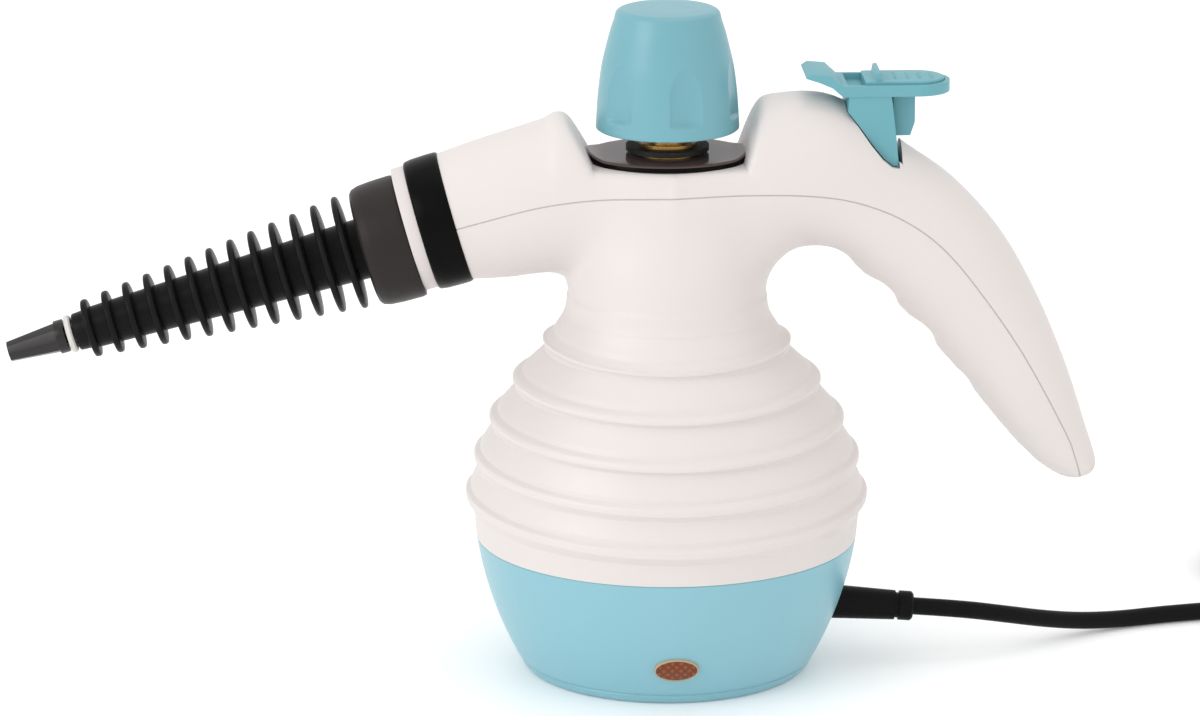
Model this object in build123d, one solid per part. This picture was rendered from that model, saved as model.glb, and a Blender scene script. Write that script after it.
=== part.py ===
"""Handheld steam cleaner: a round boiler body with stepped rings, a spout with a finned nozzle, a pressure
cap over a brass filler neck, and a drooping handle with a sprung steam trigger and a sliding lock.

The origin is the centre of the base on the floor. +X points to the handle, -X to the nozzle, -Y to the viewer
and +Z up. Lengths are millimetres and angles are degrees.
"""
import os
from math import asin, cos, hypot, pi, radians, sin, sqrt, tan

from build123d import *

# Driving dimensions of the body
shell_wall = 2.5
flank_wall = 3.2
foot_radius = 46.1
foot_edge = 1.3
seam_radius = 62.65
seam_height = 44.7
belly_radius = 66.0
belly_height = 58.5
ring_pitch = 13.0
neck_radius = 32.5
neck_height = 125.5
deck_height = 171.0
deck_half_length = 28.0
deck_half_width = 23.0
crest_height = 192.3
housing_half_width = 22.0

# Driving dimensions of the spout and the nozzle
spout_reach = 69.5
spout_height = 152.3
spout_radius = 21.1
nozzle_slope = 16.0
band_length = 11.0
end_ring_length = 4.3
nozzle_drop = 1.8
collar_length = 14.7
barrel_end = 113.4
tip_end = 136.1
fin_count = 13
fin_pitch = 7.3

# Driving dimensions of the handle
handle_reach = 142.0

# Driving dimensions of the cap and the filler neck
cap_top = 220.7
cap_bottom = 181.2
cap_radius = 23.35
cap_wall = 2.4
plug_radius = 7.0
neck_tube_radius = 9.0

# Driving dimensions of the trigger
pivot_x = 63.0
pivot_z = 160.0
pivot_pin_radius = 1.5
plate_bottom = 192.8
plate_thickness = 3.6
plate_half_width = 11.0
plate_rear = 91.6
plate_front = 56.0
lock_travel = 5.0

# Driving dimensions of the boiler
boiler_radius = 34.0
boiler_wall = 3.0
boiler_floor = 46.0
boiler_split = 90.0

# Driving dimensions of the mains lead
cord_radius = 2.9
relief_end_x = 82.0
relief_end_z = 17.2
relief_slope = 4.5

# Clearances shared by the fits
running_gap = 0.08
seat_gap = 0.1
soft_gap = 0.3
overrun = 20.0

# Working shares: outlines follow the driving dimensions
ring_radius_shares = (1.0, 0.959, 0.882, 0.765, 0.614)
riser_shares = (0.5, 0.3, 0.24, 0.24, 0.24)
tuck_shares = (0.034, 0.015, 0.011, 0.008, 0.005)
riser_sag_share = 0.8
sag_share = 0.05
cup_middle_shares = (0.571, 0.403)
# Sections of the handle: low point, top point (x by reach, z by crest), half width (by housing half width)
handle_shares = (
    (0.070, 0.697, 0.070, 0.978, 1.00),
    (0.225, 0.699, 0.211, 0.994, 0.99),
    (0.324, 0.733, 0.335, 1.000, 0.93),
    (0.405, 0.716, 0.426, 0.976, 0.855),
    (0.465, 0.678, 0.546, 0.910, 0.786),
    (0.532, 0.632, 0.656, 0.851, 0.741),
    (0.611, 0.568, 0.768, 0.758, 0.695),
    (0.690, 0.498, 0.856, 0.643, 0.632),
    (0.776, 0.418, 0.926, 0.520, 0.545),
    (0.848, 0.359, 0.973, 0.415, 0.436),
    (0.912, 0.325, 1.000, 0.351, 0.286),
    (0.951, 0.317, 0.992, 0.327, 0.118),
)
# Sections of the spout, from the neck outwards, in the same order with x by spout reach
spout_shares = (
    (0.115, 0.697, 0.115, 0.972, 1.02),
    (0.475, 0.696, 0.482, 0.972, 1.01),
    (0.590, 0.695, 0.590, 0.957, 1.00),
    (0.734, 0.689, 0.820, 0.931, 0.985),
)
# Upright neck: height, half length and half width between the belly and the deck
neck_shares = ((-0.2, 0.97, 0.97), (0.05, 0.97, 0.95), (0.3, 0.96, 0.83), (0.65, 0.88, 0.4), (1.0, 0.0, 0.0))
# Line where the upper and lower shells meet, x by handle reach and z by crest height
parting_shares = (
    (-0.634, 0.765), (-0.451, 0.803), (-0.292, 0.833), (-0.155, 0.845), (0.0, 0.849), (0.169, 0.849),
    (0.306, 0.845), (0.423, 0.830), (0.535, 0.795), (0.630, 0.741), (0.725, 0.654), (0.820, 0.549),
    (0.917, 0.416), (0.946, 0.363), (0.975, 0.290),
)
# Valley for the cap: foot and top of its left wall, then of its right wall
valley_shares = ((-0.173, 0.889), (-0.255, 1.003), (0.169, 0.889), (0.215, 1.003))
finger_shares = ((0.475, 0.668), (0.583, 0.596), (0.680, 0.508))
fin_radius = 18.85
fin_front_radius = 9.65


def polygon(points):
    """A flat face through points of the side view, given as x and z."""
    return make_face(Polyline(*[(x, 0, z) for x, z in points], close=True))


def turned(points):
    """A solid turned about the upright axis from points given as radius and height."""
    return revolve(polygon(points), Axis.Z)


def side_slab(points, low_y, high_y):
    """A plate with a side-view outline, between two y values."""
    face = make_face(Polyline(*[(x, low_y, z) for x, z in points], close=True))
    return extrude(face, amount=high_y - low_y, dir=(0, 1, 0))


def rod(radius, low, high, x=0, y=0):
    """An upright round bar."""
    return Pos(x, y, (low + high) / 2) * Cylinder(radius, high - low)


def cross_rod(radius, x, z, low_y, high_y):
    """A round bar along Y."""
    return Pos(x, (low_y + high_y) / 2, z) * Rot(90, 0, 0) * Cylinder(radius, high_y - low_y)


def long_rod(radius, low_x, high_x, y, z):
    """A round bar along X."""
    return Pos((low_x + high_x) / 2, y, z) * Rot(0, 90, 0) * Cylinder(radius, high_x - low_x)


def circle_of(first, second, third):
    """Centre and radius of the circle through three points of the side view."""
    (ax, ay), (bx, by), (cx, cy) = first, second, third
    d = 2 * (ax * (by - cy) + bx * (cy - ay) + cx * (ay - by))
    a2, b2, c2 = ax * ax + ay * ay, bx * bx + by * by, cx * cx + cy * cy
    ux = (a2 * (by - cy) + b2 * (cy - ay) + c2 * (ay - by)) / d
    uy = (a2 * (cx - bx) + b2 * (ax - cx) + c2 * (bx - ax)) / d
    return ux, uy, hypot(ax - ux, ay - uy)


# Stepped belly

def ring_rows(inset):
    """Radius, height and sag of each closed curve of the belly, from the seam up to the neck.

    The sloping flanks are drawn in by more than the upright neck, so that the wall stays as thick.
    """
    rows = [(seam_radius, seam_height, 0.0)]
    for ring, radius_share in enumerate(ring_radius_shares):
        radius = belly_radius * radius_share
        height = belly_height + ring_pitch * ring
        sag = sag_share * radius
        tuck = tuck_shares[ring] * belly_radius
        rows.append((radius - tuck, height - riser_shares[ring] * ring_pitch, riser_sag_share * sag))
        rows.append((radius, height, sag))
    top_radius, top_height, top_sag = rows[-1]
    steps = 3
    for step in range(1, steps + 1):
        left = 1 - step / steps
        radius = neck_radius + (top_radius - neck_radius) * left * left
        height = neck_height + (top_height - neck_height) * left
        rows.append((radius, height, top_sag * left))
    flank = inset * flank_wall / shell_wall
    drawn = []
    for radius, height, sag in rows:
        left = min(1.0, (neck_height - height) / (neck_height - top_height))
        drawn.append((radius - inset - (flank - inset) * left, height, sag))
    return drawn


def ring_curve(radius, height, sag, count=24):
    """A closed round curve that sags towards the front and the back."""
    turns = [2 * pi * i / count for i in range(count)]
    return Edge.make_spline([(radius * cos(a), radius * sin(a), height - sag * sin(a) ** 2) for a in turns],
                            periodic=True)


def skin(curves):
    """A solid whose side runs straight from each closed curve to the next one."""
    faces = [Face.make_surface_from_curves(low, high) for low, high in zip(curves, curves[1:])]
    faces += [Face(Wire([curves[0]])), Face(Wire([curves[-1]]))]
    return Part(Solid(Shell(faces)).wrapped)


def belly(inset):
    """Belly with its stepped rings, drawn in by inset."""
    return skin([ring_curve(*row) for row in ring_rows(inset)])


# Neck, spout and handle

def between(rows, steps):
    """Rows of a table with further rows between them, on smooth curves through the given ones."""
    out = []
    last = len(rows) - 1
    for k in range(last):
        four = (rows[max(k - 1, 0)], rows[k], rows[k + 1], rows[min(k + 2, last)])
        for step in range(steps):
            t = step / steps
            out.append(tuple(
                (2 * b + (c - a) * t + (2 * a - 5 * b + 4 * c - d) * t ** 2 + (3 * b - a - 3 * c + d) * t ** 3) / 2
                for a, b, c, d in zip(*four)))
    return out + [rows[-1]]


def oval_curve(low, top, half_width, inset, count=20):
    """Closed oval curve through a low and a top point of the side view, drawn in by inset."""
    half_height = hypot(top[0] - low[0], top[1] - low[1]) / 2
    up = ((top[0] - low[0]) / (2 * half_height), (top[1] - low[1]) / (2 * half_height))
    middle = ((low[0] + top[0]) / 2, (low[1] + top[1]) / 2)
    points = []
    for turn in [2 * pi * i / count for i in range(count)]:
        rise = (half_height - inset) * cos(turn)
        points.append((middle[0] + up[0] * rise, (half_width - inset) * sin(turn), middle[1] + up[1] * rise))
    return Edge.make_spline(points, periodic=True)


def section(low, top, half_width, inset):
    """An upright oval section through a low and a top point of the side view."""
    half_height = hypot(top[0] - low[0], top[1] - low[1]) / 2
    up = ((top[0] - low[0]) / (2 * half_height), (top[1] - low[1]) / (2 * half_height))
    middle = ((low[0] + top[0]) / 2, 0, (low[1] + top[1]) / 2)
    plane = Plane(origin=middle, x_dir=(0, 1, 0), z_dir=(up[1], 0, -up[0]))
    return plane * Ellipse(half_width - inset, half_height - inset)


def scaled(shares, reach):
    """Points and half widths of a table of sections."""
    return [((a * reach, b * crest_height), (c * reach, d * crest_height), w * housing_half_width)
            for a, b, c, d, w in shares]


def neck(inset):
    """Oval column between the belly and the deck under the cap."""
    top_half_length, top_half_width = deck_half_length, deck_half_width
    ovals = []
    for up, length_share, width_share in neck_shares:
        height = neck_height + up * (deck_height - neck_height)
        half_length = top_half_length + (neck_radius - top_half_length) * length_share
        half_width = top_half_width + (neck_radius - top_half_width) * width_share
        ovals.append(Pos(0, 0, height) * Ellipse(half_length - inset, half_width - inset))
    return loft(ovals)


def handle(inset):
    """Drooping handle with its finger hollows."""
    rows = scaled(between(handle_shares, 2), handle_reach)
    solid = skin([oval_curve(*row, inset) for row in rows if row[2] > 2.5 * inset])
    finger_radius = 10.0
    finger_depth = 1.2
    out = Vector(-1, 0, -1).normalized() * (finger_radius - finger_depth)
    for x_share, z_share in finger_shares:
        x, z = x_share * handle_reach + out.X, z_share * crest_height + out.Z
        if not inset:
            solid -= cross_rod(finger_radius, x, z, -housing_half_width, housing_half_width)
    return solid


spout_up = (-sin(radians(nozzle_slope)), cos(radians(nozzle_slope)))
spout_out = (-cos(radians(nozzle_slope)), -sin(radians(nozzle_slope)))


def spout_section(along, inset):
    """Round section of the spout at a distance beyond the end of the shells."""
    x = -spout_reach + along * spout_out[0]
    z = spout_height + along * spout_out[1]
    low = (x - spout_radius * spout_up[0], z - spout_radius * spout_up[1])
    top = (x + spout_radius * spout_up[0], z + spout_radius * spout_up[1])
    return section(low, top, spout_radius, inset)


def spout(inset):
    """Spout from the neck to the black band; a hollow one runs on past the end."""
    sections = [section(*row, inset) for row in scaled(spout_shares, -spout_reach)]
    sections.append(spout_section(0, inset))
    solid = loft(sections)
    if inset:
        tail = extrude(spout_section(0, inset), amount=overrun, dir=(spout_out[0], 0, spout_out[1]))
        solid += tail
    return solid


def valley(grow):
    """Trough that runs through the top of the body, front to back, for the cap."""
    left_foot, left_top, right_foot, right_top = [(a * handle_reach, b * crest_height)
                                                  for a, b in valley_shares]
    lift = overrun
    left_run = (left_top[0] - left_foot[0]) / (left_top[1] - left_foot[1])
    right_run = (right_top[0] - right_foot[0]) / (right_top[1] - right_foot[1])
    floor = deck_height - grow
    points = [
        (left_foot[0] - grow, floor), (right_foot[0] + grow, floor),
        (right_top[0] + right_run * lift + grow, right_top[1] + lift),
        (left_top[0] + left_run * lift - grow, left_top[1] + lift),
    ]
    return side_slab(points, -2 * housing_half_width, 2 * housing_half_width)


def top_body(inset):
    """Neck, spout and handle as one solid, with the valley for the cap, drawn in by inset."""
    return neck(inset) + handle(inset) + spout(inset) - valley(inset)


def upper_region():
    """Everything above the parting line."""
    points = [(x * handle_reach, 0, z * crest_height) for x, z in parting_shares]
    line = Spline(*points)
    start, end = points[0], points[-1]
    top = crest_height + overrun
    far = handle_reach + overrun
    rest = Polyline(end, (far, 0, end[2]), (far, 0, top), (start[0], 0, top), start)
    return extrude(make_face(line + rest), amount=4 * housing_half_width, both=True)


# Trigger outlines in the side view
fin_front_edge = ((58.0, 192.8), (57.8, 187.7), (61.4, 183.1), (65.6, 177.1), (69.4, 172.4), (72.3, 170.0))
fin_tip = (74.4, 169.5)
fin_rear_edge = ((73.5, 179.1), (71.8, 192.8))
cheek_half_width = 10.5
cheek_thickness = 3.0
cheek_gap = 0.5
trigger_boss_radius = 4.2
trigger_boss_half_width = 7.5
tail_drop = 8.0
tail_radius = 2.0
arm_half_width = 3.5


def notch():
    """Opening of the housing round the fin of the trigger, and the pocket that it swings in."""
    gap = 0.45
    swing = 2.3
    sink = 3.0
    front = [(x - gap, z - gap) for x, z in fin_front_edge]
    tip = (fin_tip[0], fin_tip[1] - gap)
    above = crest_height + overrun
    full = side_slab([(front[0][0], above), *front, tip, (fin_tip[0] + gap, fin_tip[1]),
                      (fin_rear_edge[0][0] + gap, fin_rear_edge[0][1]), (fin_rear_edge[1][0] + gap, above)],
                     -2 * housing_half_width, 2 * housing_half_width)
    half = cheek_half_width + cheek_gap
    pocket = side_slab([(front[0][0], above), *front, (tip[0], tip[1] - sink),
                        (fin_tip[0] + swing, tip[1] - sink), (fin_tip[0] + swing, above)], -half, half)
    return full + pocket


# Screw posts of the shells: x, y, head height and length of the screw
post_radius = 3.6
shell_screw_radius = 1.45
shell_screw_head = 2.9
shell_screw_head_height = 2.0
shell_screws_places = ((-43.0, 13.0, 142.0, 32.0), (94.0, 0.0, 112.0, 32.0), (119.0, 0.0, 88.0, 20.0))


def screw_posts(outer):
    """Posts that the shell screws run through, trimmed to the outside of the body."""
    posts = Part()
    for x, y, head, length in shell_screws_places:
        posts += rod(post_radius, head - 3 * overrun, head + 3 * overrun, x, y)
    return posts & outer


def screw_drillings():
    """Counterbored holes of the shell screws."""
    holes = Part()
    for x, y, head, length in shell_screws_places:
        holes += rod(shell_screw_radius, head, head + length, x, y)
        holes += rod(shell_screw_head + seat_gap, head - 2 * overrun, head + shell_screw_head_height, x, y)
    return holes


def shell_screws():
    """Screws that pull the two shells together."""
    group = Part()
    for x, y, head, length in shell_screws_places:
        group += rod(shell_screw_radius, head, head + length, x, y)
        group += rod(shell_screw_head, head, head + shell_screw_head_height, x, y)
    return group


def shells():
    """Upper and lower shells of the body, hollow and split along the parting line."""
    outer = top_body(0) + belly(0)
    pin_boss_radius = 4.0
    bosses = Part()
    for side in (-1, 1):
        inner_end = side * (trigger_boss_half_width + cheek_gap)
        bosses += cross_rod(pin_boss_radius, pivot_x, pivot_z, *sorted((inner_end, side * housing_half_width)))
    body = outer - belly(shell_wall) - top_body(shell_wall) + (bosses & outer) + screw_posts(outer)
    body -= rod(neck_tube_radius + soft_gap, deck_height - 2 * overrun, deck_height + overrun)
    body -= screw_drillings()
    body -= notch()
    body -= cross_rod(pivot_pin_radius, pivot_x, pivot_z, -pivot_pin_half_length, pivot_pin_half_length)
    above = upper_region()
    return body & above, body - above


pivot_pin_half_length = 14.5


def pivot_pin():
    """Steel pin that the trigger swings on, held in bosses of the shells."""
    return cross_rod(pivot_pin_radius, pivot_x, pivot_z, -pivot_pin_half_length, pivot_pin_half_length)


# Base

cup_points = (
    (foot_radius + foot_edge, foot_edge),
    (foot_radius + cup_middle_shares[0] * (seam_radius - foot_radius), cup_middle_shares[1] * seam_height),
    (seam_radius, seam_height),
)
cup_circle = circle_of(*cup_points)
foot_ring_width = 3.6
foot_ring_height = 6.0
base_plate_thickness = 2.5
base_screw_radius = 1.5
base_screw_circle = 37.0
base_screw_count = 4
base_boss_radius = 4.5
base_boss_top = 16.0


def cup_radius(height):
    """Outer radius of the base cup at a height."""
    return cup_circle[0] + sqrt(cup_circle[2] ** 2 - (height - cup_circle[1]) ** 2)


lamp_height = 14.0
lamp_half_width = 7.0
lamp_half_height = 4.25
lamp_rim = 1.1
lamp_stand = 0.9
bulb_radius = 2.6
bulb_length = 13.0


def lamp_frame():
    """Plane of the lamp: on the front of the cup, facing out."""
    radius = cup_radius(lamp_height)
    dip = asin((cup_circle[1] - lamp_height) / cup_circle[2])
    return Plane(origin=(0, -radius, lamp_height), x_dir=(1, 0, 0), z_dir=(0, -cos(dip), -sin(dip)))


def oval(half_width, half_height, low, high):
    """An oval block on the plane of the lamp."""
    return lamp_frame() * (Pos(0, 0, low) * extrude(Ellipse(half_width, half_height), amount=high - low))


def relief_frame():
    """Plane at the outer end of the strain relief, facing out along it."""
    slope = radians(relief_slope)
    return Plane(origin=(relief_end_x, 0, relief_end_z), x_dir=(0, 1, 0), z_dir=(cos(slope), 0, -sin(slope)))


relief_length = 26.0
relief_root_radius = 5.6
relief_end_radius = 4.9
relief_inner_length = 9.5
relief_flange_radius = 8.0
relief_flange_thickness = 2.5


def strain_relief():
    """Tapered moulding on the lead, with a groove before its end and a flange inside the cup."""
    groove = 0.7
    groove_at = 4.6
    groove_width = 1.4
    root = -relief_length
    points = [
        (0, root - relief_inner_length), (relief_flange_radius, root - relief_inner_length),
        (relief_flange_radius, root - relief_inner_length + relief_flange_thickness),
        (relief_root_radius, root - relief_inner_length + relief_flange_thickness),
        (relief_root_radius, root), (relief_end_radius, -groove_at - groove_width),
        (relief_end_radius - groove, -groove_at - groove_width), (relief_end_radius - groove, -groove_at),
        (relief_end_radius, -groove_at), (relief_end_radius, -groove), (relief_end_radius - groove, 0), (0, 0),
    ]
    return relief_frame() * turned(points)


def base_cup():
    """Blue cup under the belly, with its foot ring and screw bosses."""
    inner_points = [(radius - shell_wall, max(height, foot_ring_height)) for radius, height in cup_points]
    ring_inner = foot_radius - foot_ring_width
    outline = Polyline((ring_inner, 0, foot_ring_height), (ring_inner, 0, 0), (foot_radius, 0, 0),
                       (cup_points[0][0], 0, cup_points[0][1]))
    outer = ThreePointArc(*[(radius, 0, height) for radius, height in cup_points])
    inner = ThreePointArc(*[(radius, 0, height) for radius, height in inner_points])
    rim = Line(outer @ 1, inner @ 1)
    ledge = Line(inner @ 0, (ring_inner, 0, foot_ring_height))
    cup = revolve(make_face(outline + outer + inner + rim + ledge), Axis.Z)
    lip_height = 3.0
    lip_outer = seam_radius - shell_wall
    lip_step = seam_radius - flank_wall - seat_gap
    lip = turned([(lip_outer - shell_wall, seam_height - lip_height), (lip_outer, seam_height - lip_height),
                  (lip_outer, seam_height), (lip_step, seam_height), (lip_step, seam_height + lip_height),
                  (lip_outer - shell_wall, seam_height + lip_height)])
    cup += lip
    plate_top = base_plate_thickness
    web = foot_radius - base_screw_circle
    for place in PolarLocations(base_screw_circle, base_screw_count, start_angle=180 / base_screw_count):
        boss = rod(base_boss_radius, plate_top, base_boss_top)
        boss += Pos(web / 2, 0, (plate_top + foot_ring_height) / 2) * Box(web, base_boss_radius,
                                                                       foot_ring_height - plate_top)
        boss += Pos(web / 2, 0, (foot_ring_height + base_boss_top) / 2) * Box(
            web, shell_wall, base_boss_top - foot_ring_height)
        cup += place * boss
        cup -= place * rod(base_screw_radius, 0, base_boss_top - shell_wall)
    cup -= oval(lamp_half_width + lamp_rim, lamp_half_height + lamp_rim, -2 * shell_wall, overrun)
    cup -= relief_frame() * rod(relief_root_radius, -relief_length - relief_inner_length, 0)
    return cup


def base_plate():
    """Bottom cover, screwed up against the bosses of the cup."""
    radius = foot_radius - foot_ring_width - seat_gap
    head_depth = 1.4
    plate = rod(radius, 0, base_plate_thickness)
    for place in PolarLocations(base_screw_circle, base_screw_count, start_angle=180 / base_screw_count):
        plate -= place * rod(base_screw_radius + seat_gap, 0, overrun)
        plate -= place * rod(2 * base_screw_radius + seat_gap, 0, head_depth)
    slot_count = 4
    slot_length = 22.0
    slot_width = 2.4
    slot_pitch = 6.0
    for row in range(slot_count):
        y = (row - (slot_count - 1) / 2) * slot_pitch
        slot = Pos(0, y) * SlotOverall(slot_length, slot_width)
        plate -= extrude(slot, amount=base_plate_thickness)
    return plate


def base_screws():
    """Screws of the bottom cover."""
    head_depth = 1.4
    group = Part()
    for place in PolarLocations(base_screw_circle, base_screw_count, start_angle=180 / base_screw_count):
        group += place * rod(base_screw_radius, head_depth / 2, base_boss_top - shell_wall)
        group += place * rod(2 * base_screw_radius, head_depth / 2, head_depth)
    return group


def lamp_lens():
    """Amber lens of the lamp."""
    lens = oval(lamp_half_width, lamp_half_height, -shell_wall, lamp_stand)
    return fillet(lens.edges().group_by(Axis.Y)[0], lamp_stand / 2)


def lamp_bezel():
    """Thin rim round the lens."""
    outer = oval(lamp_half_width + lamp_rim, lamp_half_height + lamp_rim, -shell_wall, lamp_stand)
    return outer - oval(lamp_half_width, lamp_half_height, -2 * shell_wall, 2 * lamp_stand)


def lamp_bulb():
    """Neon bulb behind the lens."""
    back = -shell_wall - seat_gap
    return lamp_frame() * (rod(bulb_radius, back - bulb_length, back - bulb_radius)
                           + Pos(0, 0, back - bulb_radius) * Sphere(bulb_radius))


# Boiler

flange_radius = 41.0
flange_thickness = 4.0
gasket_thickness = 1.0
bolt_circle = 37.4
bolt_radius = 2.0
bolt_count = 6
bolt_head_radius = 3.3
bolt_head_height = 2.8
boiler_dome_foot = 104.0
boiler_boss_radius = 14.0
boiler_boss_top = 132.0
dome_radius = 20.0


def bolt_places():
    """Places of the flange bolts."""
    return PolarLocations(bolt_circle, bolt_count, start_angle=180 / bolt_count)


def boiler_lower():
    """Lower half of the boiler with its flange."""
    inner = boiler_radius - boiler_wall
    vessel = turned([(0, boiler_floor), (boiler_radius, boiler_floor),
                     (boiler_radius, boiler_split - flange_thickness),
                     (flange_radius, boiler_split - flange_thickness), (flange_radius, boiler_split),
                     (inner, boiler_split), (inner, boiler_floor + boiler_wall),
                     (0, boiler_floor + boiler_wall)])
    for place in bolt_places():
        vessel -= place * rod(bolt_radius, boiler_floor, boiler_split)
    return vessel


def boiler_gasket():
    """Flat ring between the boiler halves."""
    ring = turned([(boiler_radius - boiler_wall, boiler_split), (flange_radius, boiler_split),
                   (flange_radius, boiler_split + gasket_thickness),
                   (boiler_radius - boiler_wall, boiler_split + gasket_thickness)])
    for place in bolt_places():
        ring -= place * rod(bolt_radius, boiler_floor, boiler_split + overrun)
    return ring


def boiler_upper():
    """Domed upper half of the boiler with the boss that the filler neck screws into."""
    low = boiler_split + gasket_thickness
    inner = boiler_radius - boiler_wall
    shoulder = boiler_radius - dome_radius
    turn = radians(45)
    outer_middle = (shoulder + dome_radius * cos(turn), boiler_dome_foot + dome_radius * sin(turn))
    inner_dome = dome_radius - boiler_wall
    inner_middle = (shoulder + inner_dome * cos(turn), boiler_dome_foot + inner_dome * sin(turn))
    outer_top = (shoulder, boiler_dome_foot + dome_radius)
    inner_top = (shoulder, boiler_dome_foot + inner_dome)
    edges = Polyline((inner, 0, low), (flange_radius, 0, low), (flange_radius, 0, low + flange_thickness),
                     (boiler_radius, 0, low + flange_thickness), (boiler_radius, 0, boiler_dome_foot))
    edges += ThreePointArc((boiler_radius, 0, boiler_dome_foot), (outer_middle[0], 0, outer_middle[1]),
                           (outer_top[0], 0, outer_top[1]))
    edges += Polyline((outer_top[0], 0, outer_top[1]), (boiler_boss_radius, 0, boiler_boss_top),
                      (neck_tube_radius, 0, boiler_boss_top), (neck_tube_radius, 0, inner_top[1]),
                      (inner_top[0], 0, inner_top[1]))
    edges += ThreePointArc((inner_top[0], 0, inner_top[1]), (inner_middle[0], 0, inner_middle[1]),
                           (inner, 0, boiler_dome_foot))
    edges += Line((inner, 0, boiler_dome_foot), (inner, 0, low))
    vessel = revolve(make_face(edges), Axis.Z)
    for place in bolt_places():
        vessel -= place * rod(bolt_radius, boiler_floor, boiler_split + overrun)
    vessel -= rod(steam_tube_radius, inlet_foot, boiler_boss_top + overrun, inlet_x)
    return vessel


def boiler_bolts():
    """Bolts and nuts of the boiler flange."""
    low = boiler_split - flange_thickness
    high = boiler_split + gasket_thickness + flange_thickness
    group = Part()
    for place in bolt_places():
        group += place * rod(bolt_radius, low - bolt_head_height, high + bolt_head_height)
        group += place * rod(bolt_head_radius, low - bolt_head_height, low)
        head = extrude(RegularPolygon(bolt_head_radius, 6), amount=bolt_head_height)
        group += place * (Pos(0, 0, high) * head)
    return group


element_radius = 3.0
element_circle = 24.0
element_gap_angle = 50.0
pin_length = 9.0
pin_radius = 1.3


def heating_element():
    """Bent tube heater under the boiler, with its two terminal pins."""
    height = boiler_floor - element_radius
    path = CenterArc((0, 0, height), element_circle, element_gap_angle / 2, 360 - element_gap_angle)
    profile = Plane(origin=path @ 0, z_dir=path % 0) * Circle(element_radius)
    heater = sweep(profile, path=path)
    for end in (path @ 0, path @ 1):
        heater += rod(pin_radius, height - element_radius - pin_length, height, end.X, end.Y)
    return heater


def thermostat():
    """Disc thermostat on the floor of the boiler, with two tabs."""
    can_radius = 8.0
    can_height = 5.0
    tab_width = 5.0
    tab_thickness = 0.8
    tab_length = 7.0
    body = rod(can_radius, boiler_floor - can_height, boiler_floor)
    for side in (-1, 1):
        body += Pos(side * can_radius / 2, 0, boiler_floor - can_height - tab_length / 2) * Box(
            tab_thickness, tab_width, tab_length)
    return body


def thermal_fuse():
    """Cylindrical fuse clipped flat under the boiler."""
    fuse_radius = 2.0
    fuse_length = 12.0
    fuse_y = 14.0
    wire_radius = 0.5
    height = boiler_floor - fuse_radius
    body = long_rod(fuse_radius, -fuse_length / 2, fuse_length / 2, fuse_y, height)
    return body + long_rod(wire_radius, -fuse_length, fuse_length, fuse_y, height)


# Filler neck and cap

plate_cover_thickness = 1.6
neck_flange_radius = 10.5
neck_flange_height = 1.1
neck_foot = 120.0
neck_bore = 5.5
plug_foot = 157.0
gasket_radius = 13.5
gasket_height = 1.6
post_radius_cap = 6.5
post_top = 206.0
plug_flange_radius = 9.6
plug_flange_height = 1.2
plate_top = deck_height + plate_cover_thickness
neck_top = plate_top + neck_flange_height
gasket_foot = neck_top + soft_gap


def collar_plate():
    """Glossy oval plate on the deck round the filler neck."""
    edge_gap = 0.8
    side_gap = 0.4
    plate = extrude(Ellipse(deck_half_length - edge_gap, deck_half_width - edge_gap),
                    amount=plate_cover_thickness)
    left = valley_shares[0][0] * handle_reach + side_gap
    right = valley_shares[2][0] * handle_reach - side_gap
    window = Pos((left + right) / 2, 0, 0) * Box(right - left, 4 * deck_half_width, 4 * overrun)
    plate = Pos(0, 0, deck_height) * (plate & window)
    return plate - rod(neck_tube_radius + soft_gap, deck_height, plate_top)


def filler_neck():
    """Brass neck from the boiler up to the deck."""
    tube_length = rod(neck_tube_radius, neck_foot, neck_top) + rod(neck_flange_radius, plate_top, neck_top)
    tube_length -= rod(neck_bore, neck_foot, neck_top)
    return tube_length - rod(plug_radius + running_gap, plug_foot - soft_gap, neck_top)


def cap_plug():
    """Brass plug of the cap: thread length, sealing flange and post, with the relief chamber inside."""
    flange_foot = gasket_foot + gasket_height
    plug = rod(plug_radius, plug_foot, flange_foot) + rod(
        plug_flange_radius, flange_foot, flange_foot + plug_flange_height)
    plug += rod(post_radius_cap, flange_foot, post_top)
    plug -= rod(relief_radius + running_gap, relief_foot, relief_foot + relief_chamber)
    return plug - rod(relief_bore, plug_foot, relief_foot)


relief_radius = 2.5
relief_foot = 161.0
relief_chamber = 12.0
relief_height = 7.0
relief_bore = 1.2


def relief_poppet():
    """Poppet of the relief valve inside the plug."""
    tip = 1.6
    foot = relief_foot + seat_gap
    return turned([(0, foot), (relief_bore, foot), (relief_radius, foot + tip),
                   (relief_radius, foot + relief_height), (0, foot + relief_height)])


def cap_gasket():
    """Black sealing ring under the flange of the plug."""
    return turned([(plug_radius, gasket_foot), (gasket_radius, gasket_foot),
                   (gasket_radius, gasket_foot + gasket_height), (plug_radius, gasket_foot + gasket_height)])


hub_radius = 10.5
hub_foot = 191.0
cap_grip_shares = ((1.0, 0.0), (0.985, 0.135), (0.972, 0.268), (0.946, 0.403), (0.916, 0.537), (0.861, 0.668),
                   (0.805, 0.803), (0.749, 0.901), (0.72, 0.97), (0.67, 1.0))
dimple_count = 6
dimple_start = 48.0
dimple_radius = 7.5
dimple_depth = 1.7
dimple_foot = 4.2
dimple_height = 17.0


def cap_profile(inset):
    """Side outline of the cap shell, drawn in by inset, from the bottom edge to the flat top."""
    height = cap_top - cap_bottom
    return [(share * cap_radius - inset, cap_bottom + up * height - (inset if up == 1.0 else 0))
            for share, up in cap_grip_shares]


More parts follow.
